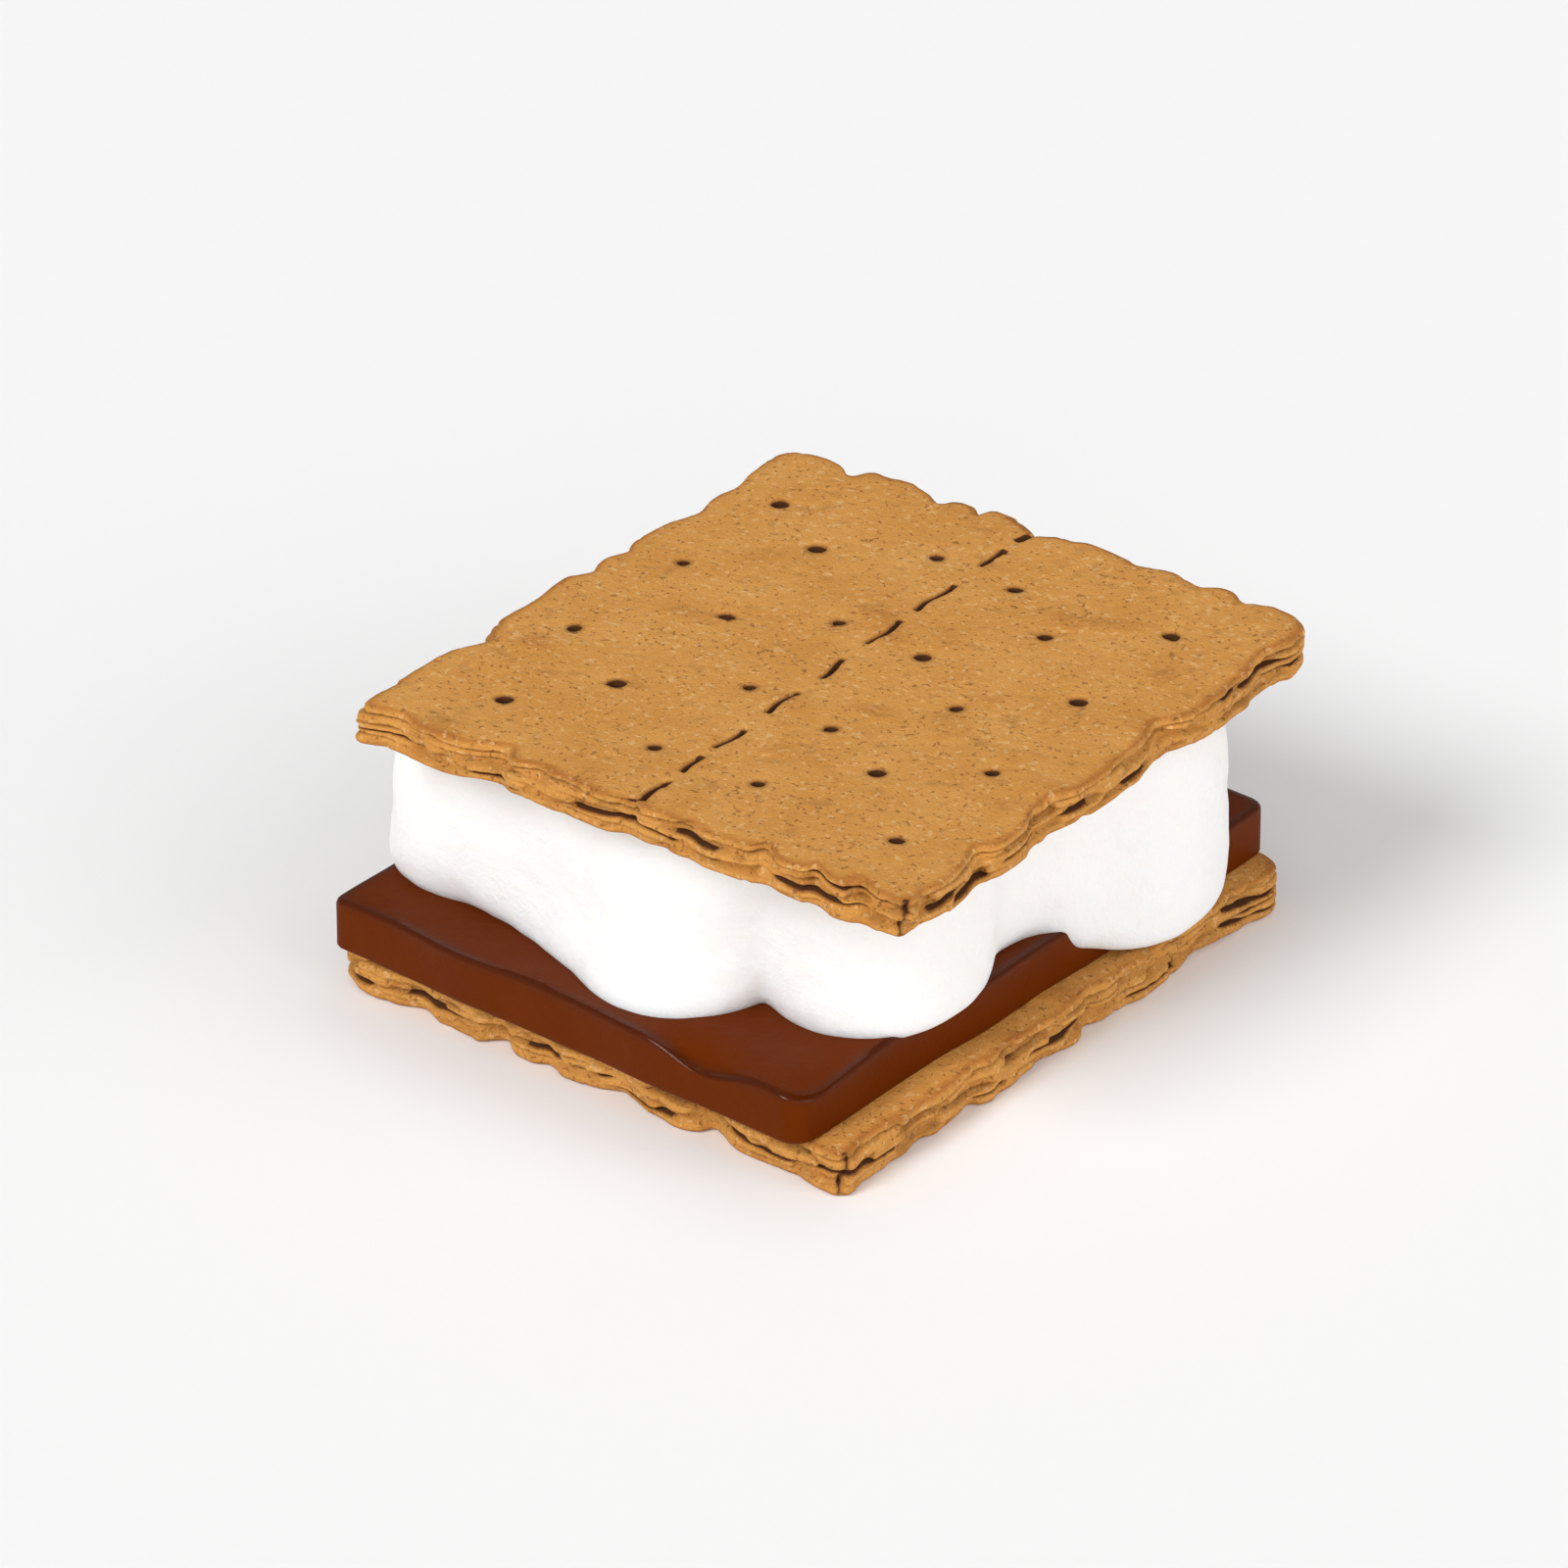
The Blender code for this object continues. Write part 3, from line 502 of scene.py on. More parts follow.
def cracker_shape(thick, corners, bite_sets, breaks, cracks, seed, top_marks, underside_marks):
    """Top and underside grids and side rings of a cracker, how baked each is, and its painted
    shade.

    The rim wanders in plan and has bites out of it, given as sets of bites with the shares of their
    depth at the underside and at the top. The top and bottom edges dip away from the faces, which
    slope to them from SHOULDER_INSET in. top_marks and underside_marks each take a face's grid and
    give it back with its own lines, and how far it is pushed in.
    """
    columns, rows = CRACKER_COLUMNS, CRACKER_ROWS
    rim = Rim(CRACKER_WIDE, CRACKER_LONG, corners, columns, rows)
    bites = [(bitten(rim.points, sides), shares) for sides, shares in bite_sets]

    def bitten_at(height):
        return sum(bite * np.interp(height, (0.0, 1.0), shares) for bite, shares in bites)

    places = lifted(rim.points, 0.0)
    chips = lumpy(places, NICKS, seed + 8) + CHIP_DEPTH * spots(places, CHIPS, seed + 9)
    wander = EDGE_WAVE * ripple(rim.turn, seed, EDGE_WAVES) + chips
    top_dip = TOP_DIP * terraced(ripple(rim.turn, seed + 3, DIP_WAVES))
    underside_dip = UNDERSIDE_DIP * terraced(ripple(rim.turn, seed + 4, DIP_WAVES))
    heights, depths, painted_side_shade, backs = cracker_side(rim, breaks, cracks, seed)
    split = corner_split(rim, columns, heights)
    from_middle = abs(2 * heights - 1)
    rounded = np.clip((from_middle - 0.75) / 0.25, 0.0, 1.0) ** 2
    moved_in = depths + EDGE_ROUND * rounded + wander + bitten_at(heights) + SPLIT_DEPTH * split
    # Painted shade in the split down the corner
    painted_side_shade = painted_side_shade + 0.9 * split

    faces, edge_heights, baked, hollow = [], [], [], []
    rim_levels = (
        (thick, np.minimum(thick - top_dip, thick - EDGE_LIFT), backs[-1] + bitten_at(1.0), 1),
        (0.0, np.maximum(underside_dip, EDGE_LIFT), backs[0] + bitten_at(0.0), -1),
    )
    for level, marks in zip(rim_levels, (top_marks, underside_marks)):
        plane, edge_height, back, way = level
        edge = rim.moved(back + EDGE_ROUND + wander)
        face = Face(edge, columns, rows, rim.halves)
        face.plan, pushed = marks(face.plan)
        relief, blister, pore = baked_relief(face.plan, seed + 200 - way)
        shoulder = 1.0 - smooth_step(face.inset, *SHOULDER)
        shoulder = shoulder / shoulder[0, 0]
        slope = shoulder * face.from_rim(edge_height - plane)
        height = plane + slope + way * (relief - pushed)
        if way < 0:
            height = np.maximum(height, FLOOR_CLEAR)
        faces.append(lifted(face.plan, height))
        edge_heights.append(height[face.edge])
        toast = RIM_TOAST * (1.0 - smooth_step(face.inset, 0.0, RIM_TOAST_WIDE))
        baked.append(0.35 * shoulder + toast + 0.3 * blister - 0.2 * pore)
        # Painted shade inside the holes and in the pores, where shade falls
        hollow.append(3.0 * smooth_step(pushed, *HOLE_PAINTED_SHADE) + 0.3 * pore)

    low, high = edge_heights[1], edge_heights[0]
    side = lifted(rim.moved(moved_in), low + heights * (high - low))
    pores = spots(side * SIDE_PORE_SQUASH, SIDE_PORES, seed + 8)
    crumbs = lumpy(side, SIDE_LUMPS, seed + 6) + SIDE_PORE_DEPTH * pores
    crumbs = crumbs * np.clip((1.0 - from_middle) / SKIN_SHARE, 0.3, 1.0)
    side[..., :2] += rim.inward * crumbs[..., None]
    skin = np.clip((from_middle - (1.0 - SKIN_SHARE)) / SKIN_SHARE, 0.0, 1.0)
    baked.append(0.1 + (0.3 + RIM_TOAST) * skin)
    # Painted shade on the side, more where its crumbs and pores lie deeper
    hollow.append(np.clip(painted_side_shade + DEPTH_SHADE * crumbs, 0.0, 2.5))
    broken = [np.zeros_like(baked[0]), np.zeros_like(baked[1]), 1.0 - skin]
    return faces[0], faces[1], side, {"baked": baked, "hollow": hollow, "broken": broken}


class Wire:
    """A shader socket. Arithmetic on it adds Math nodes, and add() puts in any other node."""

    def __init__(self, tree, socket=None):
        self.tree = tree
        self.socket = socket

    def add(self, kind, settings, values, output=0):
        """A new node: first its settings, then a value or a link for each named input."""
        node = self.tree.nodes.new(kind)
        for name, setting in settings.items():
            if name == "stops":
                elements = node.color_ramp.elements
                elements.remove(elements[1])
                elements[0].position, elements[0].color = setting[0][0], (*setting[0][1], 1.0)
                for place, colour in setting[1:]:
                    elements.new(place).color = (*colour, 1.0)
            else:
                setattr(node, name, setting)
        for name, value in values.items():
            if isinstance(value, Wire):
                self.tree.links.new(value.socket, node.inputs[name])
            else:
                node.inputs[name].default_value = value
        return None if output is None else Wire(self.tree, node.outputs[output])

    def maths(self, operation, *operands):
        """A Math node on the operands; its result stays a value."""
        return self.add("ShaderNodeMath", {"operation": operation}, dict(enumerate(operands)))

    def __add__(self, other):
        return self.maths("ADD", self, other)

    def __sub__(self, other):
        return self.maths("SUBTRACT", self, other)

    def __mul__(self, other):
        return self.maths("MULTIPLY", self, other)

    __radd__ = __add__
    __rmul__ = __mul__

    def rise(self, low, high):
        """0 below low, 1 above high, and an S-shaped rise between."""
        values = {"Value": self, "From Min": low, "From Max": high}
        return self.add("ShaderNodeMapRange", {"interpolation_type": "SMOOTHSTEP"}, values)

    def tint(self, under, over):
        """The colour under, or over, or a blend, where this value is 0, or 1, or between."""
        # A Mix node's colours go in at 6 and 7, and come out at 2
        settings = {"data_type": "RGBA", "clamp_factor": True}
        return self.add("ShaderNodeMix", settings, {0: self, 6: under, 7: (*over, 1.0)}, 2)


def new_finish(name):
    """An empty material, a wire that adds nodes to it, and its object coordinates."""
    finish = bpy.data.materials.new(name)
    finish.use_nodes = True
    finish.node_tree.nodes.clear()
    wire = Wire(finish.node_tree)
    return finish, wire, wire.add("ShaderNodeTexCoord", {}, {}, "Object")


def marked(wire, mark):
    """A mark of the mesh's points, as a value."""
    return wire.add("ShaderNodeAttribute", {"attribute_name": mark}, {}, "Fac")


def clouds(where, across, detail=3.0, roughness=0.5):
    """Noise from 0 to 1 in lumps about `across` metres wide."""
    values = {"Vector": where, "Scale": 1.0 / across, "Detail": detail, "Roughness": roughness}
    return where.add("ShaderNodeTexNoise", {}, values)


def surface(wire, colour, roughness, height, depth, **constants):
    """A Principled shader with a bump whose height of 1 stands for a depth in metres."""
    bump = wire.add("ShaderNodeBump", {}, {"Height": height, "Distance": depth})
    values = {"Base Color": colour, "Roughness": roughness, "Normal": bump}
    shader = wire.add("ShaderNodeBsdfPrincipled", {}, {**values, **constants})
    wire.add("ShaderNodeOutputMaterial", {}, {"Surface": shader}, None)


CRUMB_PALE = (0.70, 0.35, 0.09)
CRUMB_MIDDLE = (0.620, 0.275, 0.055)
CRUMB_TOASTED = (0.43, 0.158, 0.027)
BRAN = (0.22, 0.078, 0.017)
FLOUR = (0.84, 0.55, 0.25)
# Painted shade: the browns that the holes, cracks and hollows are darkened towards
CRUMB_SHADE = (0.22, 0.072, 0.013)
CRUMB_DEEP_SHADE = (0.045, 0.014, 0.003)
CRUMB_STOPS = ((0.1, CRUMB_PALE), (0.5, CRUMB_MIDDLE), (1.0, CRUMB_TOASTED))


def baked_crumb(name):
    """Golden brown, dry and matte: mottled, browner where raised, flecked with bran and flour."""
    finish, wire, where = new_finish(name)
    baked, hollow, broken = (marked(wire, mark) for mark in ("baked", "hollow", "broken"))
    mottle = clouds(where, 7 * MM, 4.0)
    speckle = clouds(where, 0.9 * MM, 4.0, 0.6)
    tone = 0.55 * baked + 0.7 * mottle + 0.5 * speckle - 0.2
    colour = wire.add("ShaderNodeValToRGB", {"stops": CRUMB_STOPS}, {"Fac": tone})
    bran = clouds(where, 0.55 * MM, 1.0).rise(0.63, 0.70)
    colour = (0.65 * bran).tint(colour, BRAN)
    flour = clouds(where, 0.75 * MM, 2.0).rise(0.40, 0.33)
    colour = (0.4 * flour).tint(colour, FLOUR)
    # Painted shade darkens the holes, cracks and hollows, by the mark made for it
    colour = (0.9 * hollow).tint(colour, CRUMB_SHADE)
    colour = (0.85 * hollow.rise(0.55, 1.0)).tint(colour, CRUMB_DEEP_SHADE)
    fine = clouds(where, 0.28 * MM, 3.0, 0.65)
    cells = {"Vector": where, "Scale": 1.0 / (0.62 * MM)}
    crumbs = wire.add("ShaderNodeTexVoronoi", {"feature": "F1"}, cells)
    height = fine + 0.8 * speckle - 1.1 * broken * crumbs
    surface(wire, colour, 0.72 + 0.2 * fine, height, 0.22 * MM, **{"Specular IOR Level": 0.25})
    return finish


crumb = baked_crumb("cracker")


def pricked_below(plan):
    """The underside of the bottom cracker, pricked in each half by its columns of pins."""
    dx, dy = UNDERSIDE_SHIFT
    holes = [
        (half + across + dx, (hole - (count - 1) / 2) * HOLE_PITCH + dy, HOLE_RADIUS)
        for half in (-HALF_MIDDLE, HALF_MIDDLE)
        for across, count in HOLE_COLUMNS
        for hole in range(count)
    ]
    return pricked(plan, holes)


def unmarked(plan):
    """A face without holes."""
    return plan, np.zeros(plan.shape[:-1])


bites = ((BOTTOM_BITES, BOTTOM_BITE_SHARES),)
top, underside, side, marks = cracker_shape(
    BOTTOM_THICK, BOTTOM_CORNERS, bites, BOTTOM_BREAKS, BOTTOM_CRACKS, BOTTOM_SEED,
    unmarked, pricked_below,
)
bottom_cracker = closed_piece("bottom_cracker_baked", top, underside, side, crumb, marks)
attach(bottom_cracker, "root")
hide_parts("bottom_cracker")


# The chocolate
#
# A plain slab of milk chocolate, broken from a bar and a little longer than the cracker. The warm
# marshmallow has softened it, so its rim is rounded and has run down in places, most at the corner
# towards +X and -Y.

CHOCOLATE_WIDE = 58.3 * MM
CHOCOLATE_LONG = 72.6 * MM
CHOCOLATE_CENTRE = (-0.65 * MM, -0.2 * MM)
CHOCOLATE_TURN = math.radians(-0.8)
CHOCOLATE_FLOOR = 4.7 * MM
CHOCOLATE_TOP = 10.2 * MM
CHOCOLATE_CORNERS = (0.9 * MM, 2.4 * MM, 1.6 * MM, 3.0 * MM)
CHOCOLATE_GRID = (104, 130)
CHOCOLATE_SEED = 5
RIM_WAVE = 0.3 * MM
RIM_WAVES = 12
RIM_ROUND = (0.45 * MM, 0.6 * MM)
FOOT_ROUND = 0.45 * MM
FOOT_WANDER = 0.4
ROUND_STEPS = 9
RUN_WIDTH = 5.5 * MM
MELTED_REACH = 0.5 * MM
# Swells of the slab's side and of its top, as (height, width), and how far in the top's are full
SIDE_SWELLS = ((0.16 * MM, 7 * MM),)
TOP_SWELLS = ((0.12 * MM, 9 * MM),)
TOP_SWELLS_INSET = 3 * MM
# Places where the top edge has run down, as (x, y, drop, reach along the rim), in mm
RUNS = ((17.5, -36, 2, 4.5), (29, -33, 0.9, 4), (-29, 14, 1.3, 6), (6, 36, 1.5, 5))


def laid(points, centre, floor, turned, tilted=0.0):
    """Points of a piece about its own middle, tilted about X, turned about Z and set in place."""
    turning = np.array(Euler((tilted, 0.0, turned)).to_matrix())
    return points @ turning.T + np.array([*centre, floor])


def chocolate_shape():
    """Top grid, underside grid and side rings of the slab, placed, with how melted each is.

    The side stands straight from a small round at its foot to a quarter of an ellipse at the rim.
    Near a run the rim is lower, and the top falls to it by a parabola over RUN_WIDTH.
    """
    columns, rows = CHOCOLATE_GRID
    thick = CHOCOLATE_TOP - CHOCOLATE_FLOOR
    rim = Rim(CHOCOLATE_WIDE, CHOCOLATE_LONG, CHOCOLATE_CORNERS, columns, rows)
    wander = RIM_WAVE * ripple(rim.turn, CHOCOLATE_SEED, RIM_WAVES)
    drop = np.zeros_like(rim.turn)
    for x, y, depth, reach in np.array(RUNS) * MM:
        drop = drop + depth * bell(np.hypot(rim.points[:, 0] - x, rim.points[:, 1] - y), reach)

    quarter = np.linspace(0.0, math.pi / 2, ROUND_STEPS)
    at_foot, at_rim = quarter[2:-1:2], quarter[1:-1]
    rise = np.linspace(FOOT_ROUND, thick - RIM_ROUND[1], ROUND_STEPS)
    insets = (FOOT_ROUND * (1 - np.sin(at_foot)), 0 * rise, RIM_ROUND[0] * (1 - np.cos(at_rim)))
    rim_heights = thick - RIM_ROUND[1] * (1 - np.sin(at_rim))
    heights = (FOOT_ROUND * (1 - np.cos(at_foot)), rise, rim_heights)
    insets, heights = np.concatenate(insets)[:, None], np.concatenate(heights)[:, None]
    share = heights / thick
    fading = (1.0 - insets / RUN_WIDTH) ** 2
    moved_in = insets + wander * (FOOT_WANDER + (1.0 - FOOT_WANDER) * share) * fading
    side = lifted(rim.moved(moved_in), heights - drop * fading * share**3)
    side[..., :2] += rim.inward * lumpy(side, SIDE_SWELLS, CHOCOLATE_SEED + 6)[..., None]

    edge = rim.moved(RIM_ROUND[0] + wander * (1.0 - RIM_ROUND[0] / RUN_WIDTH) ** 2)
    upper = Face(edge, columns, rows, rim.halves)
    run = np.clip(1.0 - (upper.inset + RIM_ROUND[0]) / RUN_WIDTH, 0.0, 1.0) ** 2
    top = lifted(upper.plan, thick - upper.from_rim(drop) * run)
    swells = lumpy(top, TOP_SWELLS, CHOCOLATE_SEED + 7)
    top[..., 2] += swells * smooth_step(upper.inset, 0.0, TOP_SWELLS_INSET)
    edge = rim.moved(FOOT_ROUND + FOOT_WANDER * wander)
    lower = Face(edge, columns, rows, rim.halves)
    underside = lifted(lower.plan, 0.0)
    below_rim = np.broadcast_to(thick - heights, side.shape[:2])
    melted = [bell(upper.inset, MELTED_REACH), 0 * lower.inset, bell(below_rim, MELTED_REACH)]
    place = (CHOCOLATE_CENTRE, CHOCOLATE_FLOOR, CHOCOLATE_TURN)
    return *[laid(part, *place) for part in (top, underside, side)], {"melted": melted}


COCOA = (0.108, 0.0170, 0.0006)
COCOA_PALE = (0.130, 0.0245, 0.0016)
COCOA_MELTED = (0.052, 0.0075, 0.0003)
COCOA_GLOSS = (1.0, 0.62, 0.30)


def milk_chocolate(name):
    """Warm brown with a satin gloss that is duller in smudges, and the faintest paler clouds.

    Where it has melted it is darker, and as glossy as if it were wet.
    """
    finish, wire, where = new_finish(name)
    melted = marked(wire, "melted")
    cloudy = clouds(where, 9 * MM, 4.0, 0.6).rise(0.35, 0.8)
    colour = (0.55 * cloudy).tint((*COCOA, 1.0), COCOA_PALE)
    colour = (0.9 * melted).tint(colour, COCOA_MELTED)
    smudge = clouds(where, 5 * MM, 5.0, 0.65)
    fine = clouds(where, 0.5 * MM, 3.0, 0.6)
    height = fine + 4.0 * clouds(where, 4 * MM, 2.0)
    coat = {"Coat Weight": 0.3 * melted, "Coat Roughness": 0.12}
    gloss = {"Specular IOR Level": 0.05, "Specular Tint": (*COCOA_GLOSS, 1.0), **coat}
    surface(wire, colour, 0.30 + 0.2 * smudge - 0.12 * melted, height, 0.04 * MM, **gloss)
    return finish


top, underside, side, marks = chocolate_shape()
chocolate = closed_piece(
    "chocolate_slab", top, underside, side, milk_chocolate("chocolate"), marks
)
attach(chocolate, "root")
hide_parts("chocolate")


# The marshmallow
#
# A large marshmallow, warmed until soft and pressed between the crackers: flat under the top one,
# bulging at the sides, and spread in round lobes over the chocolate. Towards +X one lobe hangs over
# the chocolate's edge and rests on the bottom cracker.

MARSHMALLOW_CENTRE = (0.5 * MM, -0.5 * MM)
MARSHMALLOW_THICK = 18.4 * MM
MARSHMALLOW_CELLS = 100
LOWER_RINGS = 56
UPPER_RINGS = 40
GAP = 0.3 * MM
MARSHMALLOW_FLOOR = CHOCOLATE_TOP + GAP
BELLY_HEIGHT = 0.4 * MARSHMALLOW_THICK
BELLY_SOFTNESS = 2.5 * MM
BELLY_FOLLOWS_FOOT = 0.4
HEAD_HALVES = (28.5 * MM, 30.0 * MM)
HEAD_SQUARENESS = 3.2
HEAD_SHIFT = np.array((3.2 * MM, -0.1 * MM))
WALL_FULLNESS = 2.3
WALL_FALL = 0.6
LIP_WIDTH = 4.0 * MM
FOOT_SUNK = 0.8 * MM
FOOT_SOFTNESS = 0.8 * MM
HANG_SOFTNESS = 2.0 * MM
STUCK = 0.4 * MM
# A grid's edge and the rings under the foot, as shares of its radius, and the grid's half widths
SOLE_SHARES = (0.8, 0.85, 0.9, 0.95)
SOLE_HALVES = (20 * MM, 20 * MM)
# Where the foot leaves the chocolate's +X side, measured in from that side
SIDE_PASSED = (1.9 * MM, 0.9 * MM)
# Dents of the wall, as (height, width), and how far they all lie in
DENTS = ((0.32 * MM, 11 * MM), (0.12 * MM, 4.5 * MM), (0.07 * MM, 1.9 * MM))
DENTS_IN = 0.1 * MM
# Plan circles that merge into the foot's outline, in mm: (x, y, radius, how far its edge hangs)
FOOT_LOBES = MM * np.array((
    (0, 0, 23, 0), (4, -24.5, 8.8, 0), (-2.5, -21.8, 8.6, 0), (-7.5, -18.5, 10, 0),
    (-13.5, -17.5, 9.4, 0), (19.2, -16.6, 8.2, 0), (18.6, -12.5, 8.8, 0.6), (19.5, 8.6, 8.4, 1.5),
    (21, 15.6, 10.2, 5.2), (21, 19.4, 9.7, 4.2), (4, 18.5, 12.8, 0), (-17.5, 19.5, 9.6, 0),
    (-17, 2, 10.8, 0), (-22.6, -18.4, 9.2, 0),
))
# Plan circles that merge into the belly's outline, in mm: (x, y, radius)
BELLY_LOBES = MM * np.array((
    (0, 0, 30.5), (-21.3, -20, 12.6), (17.5, -16.5, 11.5), (21.3, 19.5, 13.2), (-18.5, 19, 12),
))
TOP_CENTRE = (5.0 * MM, -1.0 * MM)
TOP_TURN = math.radians(2.7)
TOP_TILT = math.radians(-1.2)
TOP_FLOOR = MARSHMALLOW_FLOOR + MARSHMALLOW_THICK + GAP


def circle_weights(x, y, circles, softness):
    """For each plan circle, the exponential of a point's depth in it, counted in softness."""
    return [np.exp((lobe[2] - np.hypot(x - lobe[0], y - lobe[1])) / softness) for lobe in circles]


def plan_at(angle, radius):
    """X and Y at a radius from the marshmallow's middle in a direction."""
    x = MARSHMALLOW_CENTRE[0] + radius * np.cos(angle)
    y = MARSHMALLOW_CENTRE[1] + radius * np.sin(angle)
    return x, y


def merged_radius(angle, circles, softness):
    """Radius of a soft union of plan circles, in each direction from the marshmallow's middle.

    A point is in the union where the circles' weights add up to over 1. Along each direction the
    last such point is found on a fine scale of radii.
    """
    radius = np.linspace(10 * MM, 48 * MM, 400)
    x, y = plan_at(angle[:, None], radius)
    depth = np.log(sum(circle_weights(x, y, circles, softness)))
    rows = np.arange(len(angle))
    last = len(radius) - 1 - np.argmax(depth[:, ::-1] > 0.0, axis=1)
    inside, outside = depth[rows, last], depth[rows, last + 1]
    return radius[last] + (radius[1] - radius[0]) * inside / (inside - outside)


def hang_depth(angle, foot):
    """How far the foot's edge hangs down in each direction, blended from the lobes near it."""
    weights = circle_weights(*plan_at(angle, foot), FOOT_LOBES, HANG_SOFTNESS)
    return sum(weight * lobe[3] for weight, lobe in zip(weights, FOOT_LOBES)) / sum(weights)


def head_radius(angle):
    """Distance to the head's edge, a superellipse, in each direction."""
    across = np.abs(np.cos(angle)) / HEAD_HALVES[0]
    along = np.abs(np.sin(angle)) / HEAD_HALVES[1]
    return (across**HEAD_SQUARENESS + along**HEAD_SQUARENESS) ** (-1.0 / HEAD_SQUARENESS)


def top_plane(x, y):
    """Height of the top cracker's underside over a plan point."""
    dx, dy = x - TOP_CENTRE[0], y - TOP_CENTRE[1]
    return TOP_FLOOR + math.tan(TOP_TILT) * (math.cos(TOP_TURN) * dy - math.sin(TOP_TURN) * dx)


def rest_height(x, y):
    """Lowest height of the marshmallow: a little inside the chocolate, or past it, the cracker."""
    past = smooth_step(x, *(CHOCOLATE_WIDE / 2 - inside for inside in SIDE_PASSED))
    return CHOCOLATE_TOP - STUCK + past * (BOTTOM_THICK - CHOCOLATE_TOP)


def marshmallow_shape():
    """Head grid, foot grid and wall rings of the marshmallow.

    Below the belly the wall is a cubic curve that falls straight at first and then rolls under a
    lip to the foot's edge. Above, it is a quarter of a superellipse up to the flat head.
    """
    cells, count = MARSHMALLOW_CELLS, 4 * MARSHMALLOW_CELLS
    angle = -0.75 * math.pi + 2.0 * math.pi * np.arange(count) / count
    foot = merged_radius(angle, FOOT_LOBES, FOOT_SOFTNESS)
    belly = merged_radius(angle, BELLY_LOBES, BELLY_SOFTNESS)
    belly = belly + BELLY_FOLLOWS_FOOT * (foot - belly)
    head = head_radius(angle)
    low = CHOCOLATE_TOP - FOOT_SUNK - hang_depth(angle, foot)
    middle = MARSHMALLOW_FLOOR + BELLY_HEIGHT

    def ring(radius, height, shifted=0.0):
        plan = np.stack(plan_at(angle, radius), axis=1) + HEAD_SHIFT * np.reshape(shifted, (-1, 1))
        return lifted(plan, height)

    rings = [ring(share * foot, low) for share in SOLE_SHARES[1:]]
    for t in np.linspace(1.0, 0.0, LOWER_RINGS):
        straight, rolled, end = (1 - t) ** 2 * (1 + 2 * t), 3 * (1 - t) * t**2, t**3
        radius = straight * belly + rolled * (foot + LIP_WIDTH) + end * foot
        fall = 3 * (1 - t) ** 2 * t * WALL_FALL + rolled + end
        rings.append(ring(radius, middle + fall * (low - middle)))
    head_ring = ring(head, 0.0, 1.0)
    ceiling = top_plane(*head_ring[:, :2].T) + STUCK
    for t in np.linspace(0.0, math.pi / 2, UPPER_RINGS + 1)[1:-1]:
        out, up = np.cos(t) ** (2 / WALL_FULLNESS), np.sin(t) ** (2 / WALL_FULLNESS)
        rings.append(ring(head + out * (belly - head), middle + up * (ceiling - middle), 1 - out))
    wall = np.array(rings)

    around = np.roll(wall, -1, axis=1) - np.roll(wall, 1, axis=1)
    outward = np.cross(around, np.gradient(wall, axis=0))
    outward /= np.linalg.norm(outward, axis=-1, keepdims=True) + 1e-12
    wall = wall + outward * (lumpy(wall, DENTS, 21) - DENTS_IN)[..., None]
    wall[..., 2] = np.maximum(wall[..., 2], rest_height(wall[..., 0], wall[..., 1]))

    upper = Face(head_ring[:, :2], cells, cells, HEAD_HALVES, 0.0)
    top = lifted(upper.plan, top_plane(*upper.plan.T).T + STUCK)
    sole = ring(SOLE_SHARES[0] * foot, 0.0)[:, :2]
    lower = Face(sole, cells, cells, SOLE_HALVES, 0.0)
    heights = np.maximum(lower.from_rim(low), rest_height(*lower.plan.T).T)
    return top, lifted(lower.plan, heights), wall


SUGAR = (0.88, 0.875, 0.868)
SUGAR_SHADE = (0.845, 0.832, 0.812)
SUGAR_GLOW = (1.0, 0.8, 0.65)


def soft_sugar(name):
    """White and soft, lit from within, with a dry powdery skin and fine pits."""
    finish, wire, where = new_finish(name)
    cloudy = clouds(where, 8 * MM, 3.0)
    colour = (0.5 * cloudy).tint((*SUGAR, 1.0), SUGAR_SHADE)
    powder = clouds(where, 0.35 * MM, 3.0, 0.6)
    height = powder + 2.5 * clouds(where, 1.8 * MM, 2.0)
    within = {"Subsurface Scale": 4 * MM, "Subsurface Radius": SUGAR_GLOW}
    within["Subsurface Weight"] = 0.6
    surface(wire, colour, 0.6 + 0.2 * powder, height, 0.11 * MM, **within)
    return finish


top, underside, side = marshmallow_shape()
marshmallow = closed_piece("marshmallow_soft", top, underside, side, soft_sugar("marshmallow"), {})
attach(marshmallow, "root")
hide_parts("marshmallow")


WARMED_REACH = 1.1 * MM
WARMED_DEEP = 1.5 * MM


def melt_round_foot(slab):
    """Marks the top of the slab as melted round the marshmallow's foot.

    The mark is a bell in the distance from the foot's outline, or the slab's own if greater.
    """
    points = np.empty(3 * len(slab.data.vertices))
    slab.data.vertices.foreach_get("co", points)
    x, y, z = points.reshape(-1, 3).T
    dx, dy = x - MARSHMALLOW_CENTRE[0], y - MARSHMALLOW_CENTRE[1]
    angles = np.linspace(-math.pi, math.pi, 720)
    foot = merged_radius(angles, FOOT_LOBES, FOOT_SOFTNESS)
    foot = np.interp(np.arctan2(dy, dx), angles, foot)
    outside = np.maximum(np.hypot(dx, dy) - foot, 0.0)
    near_top = z > CHOCOLATE_TOP - WARMED_DEEP
    warmed = 0.8 * bell(outside, WARMED_REACH) * near_top
    marks = slab.data.attributes["melted"].data
    melted = np.empty(len(marks))
    marks.foreach_get("value", melted)
    marks.foreach_set("value", np.maximum(melted, warmed))


melt_round_foot(chocolate)


# The top cracker
#
# The other half of the sheet, laid on a little askew with the pins' holes upwards. Down its middle
# runs the perforated line along which it would snap into quarters.

